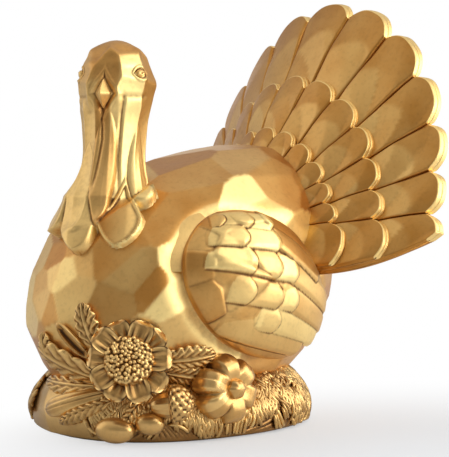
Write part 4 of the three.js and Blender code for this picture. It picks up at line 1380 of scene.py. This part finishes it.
@dataclass
class Tail:
    """The tail fan: three overlapping rows on one swept-back cone."""

    apex: Array = field(default_factory=lambda: np.array([0, 40.3, 98.5]))
    root: float = 46.0
    length: float = 164.5
    shoulder: float = 68.0
    flank: float = 38.5
    lean_top: float = 27.6
    lean_side: float = 18.0
    side_feathers: int = 6
    step: float = 16.2
    crowding: float = 0.062
    notch: float = 0.055
    hem_root: float = 17.0
    hem_tip: float = -4.0
    gap: float = 0.04
    outer: Row = Row(1.0, 0.0, -5.6, 0.0)
    middle: Row = Row(0.68, 0.1, 0.3, 4.3)
    collar: Row = Row(0.455, 0.14, 4.6, 8.0)
    bevel: float = 0.08
    cut: float = 1.0
    patches: float = 3.4
    slant: float = 2.4
    nose_rings: int = 5
    rows: int = 56
    columns: int = 60

    def ray(self, turn: Array) -> Array:
        """Unit directions from the apex at a turn from upright, leaning back by a mix of two angles."""
        lean = np.radians(self.lean_side * np.sin(turn) ** 2 + self.lean_top * np.cos(turn))
        return vec(np.sin(turn) * np.cos(lean), np.sin(lean), np.cos(turn) * np.cos(lean))

    def full(self, k: Array) -> Array:
        """The length of the feather numbered k from the middle, which falls off by even powers of k."""
        share = (k / self.side_feathers) ** 2
        return self.length - self.shoulder * share + self.flank * share**2

    def point(self, k: Array, distance: Array, depth: Array, sideways: Array) -> Array:
        """Points of the fan.

        Args:
            k: feather number, counted from the middle.
            distance: millimetres from the apex.
            depth: millimetres in front of the cone.
            sideways: millimetres across the feather.

        Returns:
            Points in the row frame.
        """
        spare = np.maximum(0, np.abs(k) - self.side_feathers)
        out = (distance - self.root) / (self.full(k) - self.root)
        hem = np.sign(k) * 2 * spare * np.radians(lerp(self.hem_root, self.hem_tip, out))
        turn = np.radians(self.step * k - self.crowding * k**3) + hem
        ray = self.ray(turn)
        across = unit(self.ray(turn + 0.01) - self.ray(turn - 0.01))
        facing = np.cross(across, ray)
        place = self.apex + ray * distance[..., None] + facing * depth[..., None]
        return place + across * sideways[..., None]

    def feather(self, row: Row, number: int) -> tuple[Array, Array]:
        """One feather: a plate with a round tip and a square end, cut flat in slanting patches on its face.

        A ring runs over the front face and back along the rear one. Quarter ellipses round its edges, and its
        last rings close the end. The patches are a zigzag along the feather, each with its own tone. The
        tip is bent a little back and painted browner as shade, the end is painted pale as a highlight, and
        the sides are painted dark as shade in the grooves between feathers.

        Args:
            row: the row that it stands in.
            number: its number from the middle.

        Returns:
            Rings of points, and their tones.
        """
        half = np.sin(np.pi / 2 * np.linspace(-1, 1, self.columns // 2))
        s = np.concatenate([half, half[::-1]])[None]
        edge = np.clip((np.abs(s) - 1) / self.bevel + 1, 0, 1)
        q = np.sqrt(1 - edge**2) * np.concatenate([np.ones(half.size), -np.ones(half.size)])
        k = number + 0.5 * s
        share = row.share + row.rise * (k / self.side_feathers) ** 2
        tip = 1.01 * share * self.full(k) * (1 - self.notch / row.share**0.5 * np.abs(s) ** 2.8)
        bow = np.linspace(0, np.pi / 2, self.nose_rings)
        shut = (0.55, 0.25, 0.02)
        nose = np.concatenate([0.7 * (1 - np.sin(bow)), np.zeros(len(shut))])[:, None]
        plain = self.rows - len(nose)
        v = np.linspace(0, 1, plain)[:, None]
        distance = np.concatenate([lerp(self.root, tip - 0.9, v), tip - nose])
        pinch = np.concatenate([np.ones(plain), 1 - 0.2 * (1 - np.cos(bow)), shut])[:, None]
        distance = distance - self.slant * row.share * (1 + q * pinch) / 2 * smooth(distance / tip, 0.9, 1.0)
        thick = (row.front - row.back) / 2
        out = distance / tip
        patch = self.patches * row.share**0.5 * out + 0.3 * s + 0.37 * number
        zigzag = self.cut * (np.abs(2 * (patch - np.floor(patch)) - 1) - 0.5)
        bend = -0.07 * np.maximum(0, distance - (0.86 + 0.04 * s) * tip)
        depth = (row.front + row.back) / 2 + thick * q * pinch + bend + (zigzag - 0.2) * (q > 0)
        sideways = -s * self.gap / 2 + 0 * distance
        tone = 0.3 + 0.18 * chisel(np.floor(2 * patch), row.share + number)
        tone = tone + 0.06 * float(chisel(np.array(number), 3.0))
        # Painted shade: the bent tip browner, and the sides dark beside the grooves.
        tone = lerp(tone, 0.1, smooth(out - 0.04 * s, 0.84, 0.87)) * (1 - smooth(np.abs(s), 0.88, 0.98))
        # Painted highlight: the end faces pale.
        tone = np.where(np.arange(self.rows)[:, None] > plain, 1.0, tone)
        return self.point(k + 0 * distance, distance, depth, sideways), tone

    def build(self) -> None:
        """Pours both rows of feathers and the scalloped collar."""
        numbers = range(-self.side_feathers, self.side_feathers + 1)
        for label, row in (("outer", self.outer), ("middle", self.middle)):
            for i, number in enumerate(numbers, 1):
                node = f"tail_feather_{label}_{i}"
                rings, tone = self.feather(row, number)
                Casting(f"{node}_vane", rings, TAIL_GOLD, Slot.TAIL, (node,), tone).pour()
        pairs = [self.feather(self.collar, number) for number in numbers]
        scallops, tones = (np.stack(both) for both in zip(*pairs))
        Casting("tail_scallops", scallops, TAIL_GOLD, Slot.TAIL, ("tail_collar",), tones).pour()


@dataclass(frozen=True)
class Pose:
    """Where an ornament sits and which way it faces."""

    centre: Array
    out: Array
    right: Array
    up: Array

    @staticmethod
    def tipped(centre: Array, azimuth: float, tip: float) -> Pose:
        """A pose that faces a bearing and is tipped up.

        Args:
            centre: the ornament's middle.
            azimuth: the bearing that it faces.
            tip: degrees that it is tipped up.

        Returns:
            The pose.
        """
        c, s = cos_sin(tip)
        out = compass(azimuth) * c + np.array([0, 0, s])
        right = compass(azimuth + 90)
        return Pose(centre, out, right, -np.cross(out, right))

    def at(self, right: Array, up: Array, out: Array) -> Array:
        """Points from places along the pose's own axes."""
        place = right[..., None] * self.right + up[..., None] * self.up
        return self.centre + place + out[..., None] * self.out

    def round(self, radius: Array | float, angle: Array, out: Array) -> Array:
        """Points at a radius and an angle round the pose's outward axis."""
        return self.at(radius * np.cos(angle), radius * np.sin(angle), out)


@dataclass
class Harvest:
    """The harvest ornaments laid on the mound and the flank.

    A leaf's row is its node, root, tip, half width, fullest share, lift at the tip and teeth, and an ear's
    row its node, root, tip, half width and kernels a side.
    """

    body: Body
    stand: Stand
    petals: int = 10
    petal_reach: float = 23.0
    petal_half: float = 6.7
    petal_thick: float = 2.2
    petal_rows: int = 40
    petal_columns: int = 44
    seed_radius: float = 13.4
    seed_height: float = 5.0
    seeds: int = 120
    bead_radius: float = 1.2
    pumpkin_radius: float = 19.5
    pumpkin_half: float = 13.0
    pumpkin_start: float = 0.35
    knob_radius: float = 5.0
    knob_rise: float = 5.0
    acorn_radius: float = 7.6
    acorn_length: float = 12.0
    cup_radius: float = 10.0
    cup_length: float = 11.0
    cup_scales: int = 90
    leaf_thick: float = 2.4
    ear_thick: float = 4.5
    leaves: tuple[tuple[str, tuple[float, float], tuple[float, float], float, float, float, int], ...] = (
        ("leaf_upright", (27, 51), (22.5, 74), 7.2, 0.45, 2, 5),
        ("leaf_oak_top", (3, 40), (3, 57), 5.5, 0.6, 1, 4),
        ("leaf_oak", (25, 33), (-3, 49), 9.5, 0.6, 1, 5),
        ("leaf_ash", (27, 28), (-13, 26), 6.0, 0.6, 1, 6),
        ("leaf_right_upper", (52, 43.5), (77, 47), 7.6, 0.55, 2, 7),
        ("leaf_right_lower", (53, 37.5), (77, 34), 7.0, 0.55, 2, 7),
    )
    ears: tuple[tuple[str, tuple[float, float], tuple[float, float], float, int], ...] = (
        ("wheat_ear_long", (34, 22), (8, 8), 4.5, 9),
        ("wheat_ear_short", (44, 21), (38, 9), 4.0, 5),
    )

    def flank(self, azimuth: Array, z: Array) -> Array:
        """The ground round the stand's axis: the mound, or the body where that stands further out.

        Args:
            azimuth: bearings.
            z: heights.

        Returns:
            Points in the row frame.
        """
        azimuth, z = np.broadcast_arrays(np.asarray(azimuth, float), np.asarray(z, float))
        axis, out = vec(0 * z, 0 * z, z), compass(azimuth)
        reach = np.maximum(self.stand.radius(azimuth, z), self.body.leave(axis, out))
        return axis + out * reach[..., None]

    @staticmethod
    def cast(name: str, node: str, rings: Array, tone: Array | None = None, recess: float = 1.0) -> None:
        """Pours one ornament in the harvest's finish."""
        Casting(name, rings, HARVEST_GOLD, Slot.ANTIQUE, (node,), tone, recess).pour()

    def build(self) -> None:
        """Pours every ornament."""
        flower = Pose.tipped(self.flank(41, 45.5) + compass(50) * 14, 50, 18)
        self.pour_seeds(flower)
        self.pour_petals(flower)
        self.pour_pumpkin()
        self.pour_acorn()
        self.pour_nut("nut_long", 35, 7.4, 11.2, 7.0)
        self.pour_nut("nut_round", 48.3, 10.8, 8.0, 6.0)
        self.pour_leaves()
        self.pour_ears()

    def pour_seeds(self, pose: Pose) -> None:
        """Pours the sunflower's disc: a dome beaded with a spiral of seeds, each a half ball round its spot.

        Args:
            pose: where the flower sits.
        """
        v, a = globe(90, 150)
        level = np.sin(v) * self.seed_radius
        x, y = level * np.cos(a), level * np.sin(a)
        i = np.arange(self.seeds)
        r = self.seed_radius * 0.97 * np.sqrt((i + 0.5) / self.seeds)
        sx = r * np.cos(i * GOLDEN_ANGLE) + 0.6 * chisel(i, 1)
        sy = r * np.sin(i * GOLDEN_ANGLE) + 0.6 * chisel(i, 2)
        away = (x[..., None] - sx) ** 2 + (y[..., None] - sy) ** 2
        bead = np.sqrt(np.clip(1 - away.min(-1) / self.bead_radius**2, 0, 1))
        bead = bead * (1 + 0.35 * chisel(away.argmin(-1), 4))
        dome = np.where(np.cos(v) > 0, self.seed_height, self.petal_thick) * np.cos(v)
        out = dome * 0.75 + np.where(np.cos(v) > 0, 1.7 * bead, 0)
        self.cast("flower_seeds", "sunflower_disc", pose.at(x, y, out), 0.1 + 0.9 * bead, 0.5)

    def pour_petals(self, pose: Pose) -> None:
        """Pours the petals and the stalk that beds them.

        A petal is a lens with ribs by a cosine across it. It is cupped by the square of its width, curls up
        along its length and turns over at its end, and every other one laps over its neighbours.

        Args:
            pose: where the flower sits.
        """
        v = poles(self.petal_rows)[None, :, None]
        t = turns(self.petal_columns)[None, None]
        which = np.arange(self.petals)[:, None, None]
        bearing = 2 * np.pi * which / self.petals + 0.1 * chisel(which, 3)
        full = fullness(v, 0.7) ** 0.8
        share = np.cos(t)
        wide = self.petal_half * full * share
        rib = 0.8 * np.cos(3.5 * np.pi * share) * smooth(1 - v, 0.05, 0.75) * (np.sin(t) > 0)
        curl = 3.4 * (v - 0.3) ** 2 + 0.075 * wide**2 - 2.6 * smooth(v, 0.82, 1.0) * (1 - 0.5 * share**2)
        lap = 0.9 * np.where(which % 2 == 0, 1, -1)
        high = self.petal_thick * 0.8 * full * np.sin(t) + rib * full + curl - self.petal_thick + lap
        reach = lerp(0.45 * self.seed_radius, self.petal_reach * (1 + 0.03 * chisel(which, 4)), v)
        x = reach * np.cos(bearing) - wide * np.sin(bearing)
        y = reach * np.sin(bearing) + wide * np.cos(bearing)
        around = t * np.ones((1, self.petal_rows, 1))
        drop = np.linspace(0, -40, self.petal_rows)[None, :, None] * np.ones((1, 1, self.petal_columns))
        bed = pose.round(0.9 * self.seed_radius, around, drop)
        tone = 0.25 + 0.45 * smooth(np.abs(share), 0.5, 0.95) + 0.4 * smooth(v, 0.8, 1.0) + 0 * which
        tone = np.concatenate([tone, 0.2 + 0 * around])
        self.cast("flower_petals", "sunflower_petals", np.concatenate([pose.at(x, y, high), bed]), tone)

    def pour_pumpkin(self) -> None:
        """Pours the pumpkin and its stem: six lobes between creases round a dimpled, flattened ball.

        A crease is a high power of a cosine round the ball, and the stem is a six-sided knob.
        """
        pose = Pose.tipped(self.flank(82.5, 27) + compass(82.5) * 7, 96, 5)
        v, a = globe(80, 180)
        phase = 3 * a + self.pumpkin_start
        crease = np.abs(np.cos(phase)) ** 12
        number = np.floor(phase / np.pi + 0.5) % 6
        lobe = 1 - 0.2 * crease - 0.03 * (1 + chisel(number, 2))
        radius = self.pumpkin_radius * lobe * np.sin(v) ** 0.65
        dimple = 0.38 * self.pumpkin_half * (1 - np.sin(v)) ** 2
        high = (self.pumpkin_half - dimple) * np.cos(v) * (1 - 0.1 * crease * np.sin(v))
        tone = 0.6 + 0.35 * chisel(number, 5) + 0 * v
        self.cast("pumpkin_lobes", "pumpkin", pose.round(radius, a, high), tone, 0.6)
        v, a = poles(36)[:, None], turns(48)[None]
        girth = self.knob_radius * np.sqrt(np.sin(np.pi * v)) ** 0.8
        girth = girth * (1 + 0.07 * np.cos(6 * a)) * (1 + 0.1 * (1 - v))
        rise = lerp(0.45 * self.pumpkin_half, 0.65 * self.pumpkin_half + self.knob_rise, v)
        rings = pose.at(girth * np.cos(a) + 0.8 * v, girth * np.sin(a), rise + 0 * a)
        self.cast("pumpkin_knob", "pumpkin_stem", rings, 0.4 + 0 * girth, 0.4)

    def pour_acorn(self) -> None:
        """Pours the acorn: a creased nut with a point, and a cup covered in a spiral of round scales."""
        pose = Pose.tipped(self.flank(57.5, 21.5) + compass(57.5) * 0.9 * self.acorn_radius, 147.5, 6)
        v, a = globe(60, 90)
        ahead = np.cos(v)
        girth = self.acorn_radius * np.sin(v) * (1 - 0.035 * np.abs(np.cos(7 * a)))
        along = -np.where(ahead > 0, self.acorn_length * ahead + 1.2 * smooth(ahead, 0.96, 1.0), 3 * ahead)
        self.cast("acorn_body", "acorn_nut", pose.round(girth, a, along))
        near = np.sqrt(np.clip(2 - 2 * (ball(v, a) @ sown(self.cup_scales).T).max(-1), 0, None))
        scale = 1.3 * np.sqrt(np.clip(1 - (near / 0.2) ** 2, 0, 1)) - 0.7
        girth = (self.cup_radius + scale) * np.sin(v)
        along = np.where(ahead > 0, self.cup_length * ahead, 2.75 * ahead) + scale * ahead * (ahead > 0)
        self.cast("acorn_scales", "acorn_cup", pose.round(girth, a, along))

    def pour_nut(self, name: str, azimuth: float, z: float, half: float, radius: float) -> None:
        """Pours a nut that lies along the mound: an oval with a blunt end and shallow seams.

        Args:
            name: its node.
            azimuth: its bearing.
            z: its height.
            half: half its length.
            radius: its girth.
        """
        out = ground_normal(self.flank, azimuth, z)
        right = compass(azimuth + 90)
        pose = Pose(self.flank(azimuth, z) + out, out, right, np.cross(out, right))
        v, a = globe(50, 64)
        girth = radius * np.sin(v) ** 0.9 * (1 - 0.03 * np.abs(np.cos(1.5 * a + 0.6)) ** 12)
        along = -half * np.cos(v) + 0 * a
        self.cast(f"{name}_shell", name, pose.at(along, girth * np.cos(a), girth * np.sin(a)))

    def pour_leaves(self) -> None:
        """Pours the leaves, with toothed edges, a grooved midrib and pillowed veins, and the husk."""
        for name, root, tip, half, fullest, lift, count in self.leaves:
            edge, relief = partial(self.teeth, count), partial(self.veins, count)
            shape = Creeper(self.flank, root, tip, half, self.leaf_thick, fullest, 1.0, lift, edge, relief)
            self.cast(f"{name}_blade", name, shape.rings(), shape.tones(), 0.6)
        boat = Creeper(self.flank, (23.5, 45), (12.5, 63), 4.0, 2.6, 0.5, 1.0, 3, relief=self.boat)
        self.cast("leaf_boat_blade", "leaf_boat", boat.rings(), boat.tones())
        husk = Creeper(self.flank, (30, 26), (-2, 13), 6.0, 5.0, 0.7, relief=self.pleats)
        self.cast("corn_husk_band", "corn_husk", husk.rings(), husk.tones())

    def pour_ears(self) -> None:
        """Pours the ears of wheat: slanting kernels along both sides of a rib."""
        for name, root, tip, half, count in self.ears:
            edge, relief = partial(self.teeth, count), partial(self.kernels, count)
            shape = Creeper(self.flank, root, tip, half, self.ear_thick, edge=edge, relief=relief)
            self.cast(f"{name}_grain", name, shape.rings(), shape.tones(), 0.6)

    @staticmethod
    def teeth(count: int, v: Array) -> Array:
        """Edge widths along a leaf with that many teeth, by the size of a sine."""
        return 0.8 + 0.22 * np.abs(np.sin(count * np.pi * v))

    @staticmethod
    def veins(count: int, v: Array, s: Array) -> Array:
        """Relief of a leaf: a midrib between grooves, and side veins that slant to the tip.

        The rib and its grooves are bells across the leaf, and the veins the size of a slanting sine.

        Args:
            count: side veins.
            v: share along the leaf.
            s: share across it.

        Returns:
            Heights in millimetres.
        """
        rib = 0.9 * bell(s, 0.1) - 0.8 * bell(np.abs(s) - 0.2, 0.1)
        side = np.abs(np.sin(np.pi * count * (v - 0.28 * np.abs(s))))
        return rib + (1.2 * side - 0.8) * smooth(np.abs(s), 0.12, 0.3)

    @staticmethod
    def kernels(count: int, v: Array, s: Array) -> Array:
        """Relief of an ear of wheat: plump kernels that slant out from the rib, with fine ridges.

        They are the sizes of a slanting sine and of one three times as fast, with a groove down the middle.

        Args:
            count: kernels a side.
            v: share along the ear.
            s: share across it.

        Returns:
            Heights in millimetres.
        """
        lean = v - 0.16 * np.abs(s)
        plump = np.abs(np.sin(np.pi * count * lean))
        fine = np.abs(np.sin(3 * np.pi * count * lean))
        return 1.3 * plump + 0.4 * fine - 1.2 - 0.9 * bell(s, 0.14)

    @staticmethod
    def boat(v: Array, s: Array) -> Array:
        """A trough between raised rims."""
        return -3.6 * (1 - smooth(np.abs(s), 0.35, 0.75)) * smooth(v, 0.04, 0.2) * smooth(1 - v, 0.04, 0.2)

    @staticmethod
    def pleats(v: Array, s: Array) -> Array:
        """Shallow folds along a husk."""
        return 0.45 * np.cos(7 * s + 2 * v) - 0.9 * bell(s + 0.3, 0.12)


@dataclass(frozen=True)
class Lamp:
    """A square soft lamp: its place in metres towards the camera, to the right and up, its size and watts."""

    name: str
    toward: float
    right: float
    up: float
    size: float
    power: float


@dataclass
class Studio:
    """The camera at the photograph's angle, a pale floor and soft light.

    The surround is stops of a level by how far a direction lies behind the figure, seen from the camera.
    """

    bearing: float = 57.0
    distance: float = 900.0
    height: float = 156.0
    shift_y: float = -2.0
    turn_right: float = 2.06
    turn_down: float = 2.94
    lens: float = 124.8
    sensor: float = 36.0
    floor_half: float = 6.0
    floor_colour: Colour = (0.73, 0.75, 0.78)
    shadow_right: float = 0.16
    shadow_toward: float = 0.2
    shadow_near: float = 0.14
    shadow_far: float = 0.36
    shadow_least: float = 0.3
    backdrop: float = 0.92
    surround: tuple[tuple[float, float], ...] = (
        (0.0, 0.27), (0.14, 0.3), (0.28, 0.48), (0.5, 0.58), (0.95, 0.45),
    )
    aim: tuple[float, float, float] = (0, 0, 0.12)
    lamps: tuple[Lamp, ...] = (
        Lamp("key_softbox", 0.6, 1.2, 1.0, 2.0, 16.5),
        Lamp("glint_softbox", 0.75, 1.1, 0.45, 0.5, 3.0),
        Lamp("edge_softbox", -0.15, 1.35, 0.3, 1.0, 7.0),
        Lamp("fill_softbox", -0.35, -1.3, 0.6, 1.2, 3.0),
        Lamp("ceiling_softbox", 0.0, 0.0, 1.7, 3.0, 6.3),
    )

    def build(self) -> None:
        """Sets up the camera, the floor, the world and the lamps."""
        scene = bpy.context.scene
        scene.view_settings.view_transform = "Standard"
        self.place_camera(scene)
        self.lay_floor()
        self.light_world(scene)
        for lamp in self.lamps:
            self.hang(lamp)

    def place_camera(self, scene: bpy.types.Scene) -> None:
        """Stands the camera on its bearing and turns it to the photograph's frame.

        Args:
            scene: the scene that takes the camera.
        """
        data = bpy.data.cameras.new("camera")
        data.lens = self.lens
        data.sensor_width = self.sensor
        camera = bpy.data.objects.new("camera", data)
        scene.collection.objects.link(camera)
        toward, right = compass(self.bearing), compass(self.bearing + 90)
        spot = toward * self.distance + np.array([0, self.shift_y, self.height])
        camera.location = Vector(spot * METRES)
        r, d = np.radians(self.turn_right), np.radians(self.turn_down)
        look = (-toward * np.cos(r) + right * np.sin(r)) * np.cos(d) - np.array([0, 0, np.sin(d)])
        camera.rotation_euler = Vector(look).to_track_quat("-Z", "Y").to_euler()
        scene.camera = camera

    def lay_floor(self) -> None:
        """Lays a pale floor that the camera sees as white, fading into paper under the figure's shadow."""
        mesh = bpy.data.meshes.new("floor")
        half = self.floor_half
        corners = [(-half, -half, 0), (half, -half, 0), (half, half, 0), (-half, half, 0)]
        mesh.from_pydata(corners, [], [(0, 1, 2, 3)])
        floor = bpy.data.objects.new("floor", mesh)
        bpy.context.scene.collection.objects.link(floor)
        made, kit, shader = Nodes.material("floor_paper")
        kit.fit(shader, {"Roughness": 0.9, "Specular IOR Level": 0.1})
        place = kit.place()
        speck = kit.noise(place, 300.0, 2.0)
        far = kit.add("ShaderNodeVectorMath")
        far.operation = "DISTANCE"
        shadow = self.shadow_right * compass(self.bearing + 90) + self.shadow_toward * compass(self.bearing)
        far.inputs[1].default_value = Vector(shadow)
        kit.link(place, far.inputs[0])
        fade = kit.add("ShaderNodeMapRange")
        fade.interpolation_type = "SMOOTHSTEP"
        kit.fit(fade, {"From Min": self.shadow_near, "From Max": self.shadow_far})
        kit.fit(fade, {"To Min": self.shadow_least, "To Max": 1.0})
        kit.link(far.outputs["Value"], fade.inputs["Value"])
        paper = kit.scale_colour(self.floor_colour, kit.math("MULTIPLY_ADD", speck, 0.02, 0.99))
        kit.link(paper, shader.inputs["Base Color"])
        glow = kit.add("ShaderNodeEmission")
        blend = kit.add("ShaderNodeMixShader")
        seen = kit.add("ShaderNodeLightPath").outputs["Is Camera Ray"]
        kit.link(kit.math("MULTIPLY", seen, fade.outputs["Result"]), blend.inputs["Fac"])
        kit.link(shader.outputs["BSDF"], blend.inputs[1])
        kit.link(glow.outputs["Emission"], blend.inputs[2])
        kit.link(blend.outputs["Shader"], made.node_tree.nodes["Material Output"].inputs["Surface"])
        mesh.materials.append(made)

    def light_world(self, scene: bpy.types.Scene) -> None:
        """A white surround for the camera and for the backdrop's reflections, soft light for everything else.

        Args:
            scene: the scene that takes the world.
        """
        world = bpy.data.worlds.new("studio")
        scene.world = world
        world.use_nodes = True
        kit = Nodes(world.node_tree)
        sky = world.node_tree.nodes["Background"]
        path = kit.add("ShaderNodeLightPath")
        seen = kit.math("MAXIMUM", path.outputs["Is Camera Ray"], path.outputs["Is Transmission Ray"])
        behind = kit.add("ShaderNodeVectorMath")
        behind.operation = "DOT_PRODUCT"
        behind.inputs[0].default_value = Vector(-compass(self.bearing))
        kit.link(kit.add("ShaderNodeTexCoord").outputs["Generated"], behind.inputs[1])
        sweep = kit.add("ShaderNodeValToRGB")
        kit.link(kit.math("MULTIPLY_ADD", behind.outputs["Value"], 0.5, 0.5), sweep.inputs["Fac"])
        stops = sweep.color_ramp.elements
        for stop, level in self.surround:
            stops.new(stop).color = (level, level, level, 1)
        stops.remove(stops[0])
        stops.remove(stops[-1])
        backdrop = kit.math("GREATER_THAN", behind.outputs["Value"], self.backdrop)
        shown = kit.math("MULTIPLY", path.outputs["Is Glossy Ray"], backdrop)
        seen = kit.math("MAXIMUM", seen, shown)
        sky.inputs["Color"].default_value = (1, 1, 1, 1)
        kit.link(kit.math("MAXIMUM", seen, sweep.outputs["Color"]), sky.inputs["Strength"])

    def hang(self, lamp: Lamp) -> None:
        """Hangs a soft lamp that faces the figure.

        Args:
            lamp: the lamp.
        """
        data = bpy.data.lights.new(lamp.name, "AREA")
        data.shape = "RECTANGLE"
        data.size = lamp.size
        data.size_y = lamp.size
        data.energy = lamp.power
        hung = bpy.data.objects.new(lamp.name, data)
        level = lamp.toward * compass(self.bearing) + lamp.right * compass(self.bearing + 90)
        hung.location = Vector(level + lamp.up * UP)
        aim = Vector(self.aim) - hung.location
        hung.rotation_euler = aim.to_track_quat("-Z", "Y").to_euler()
        bpy.context.scene.collection.objects.link(hung)


def main() -> None:
    """Builds the figure and the studio in order, and logs each part as it is built."""
    logging.basicConfig(level=logging.INFO, format="%(name)s: %(message)s")
    body, stand = Body(), Stand()
    for part in (stand, body, Neck(body), Wing(body, 1), Wing(body, -1), Tail(), Harvest(body, stand)):
        LOG.info("building %s", type(part).__name__)
        part.build()
    Studio().build()


if __name__ == "__main__":
    main()
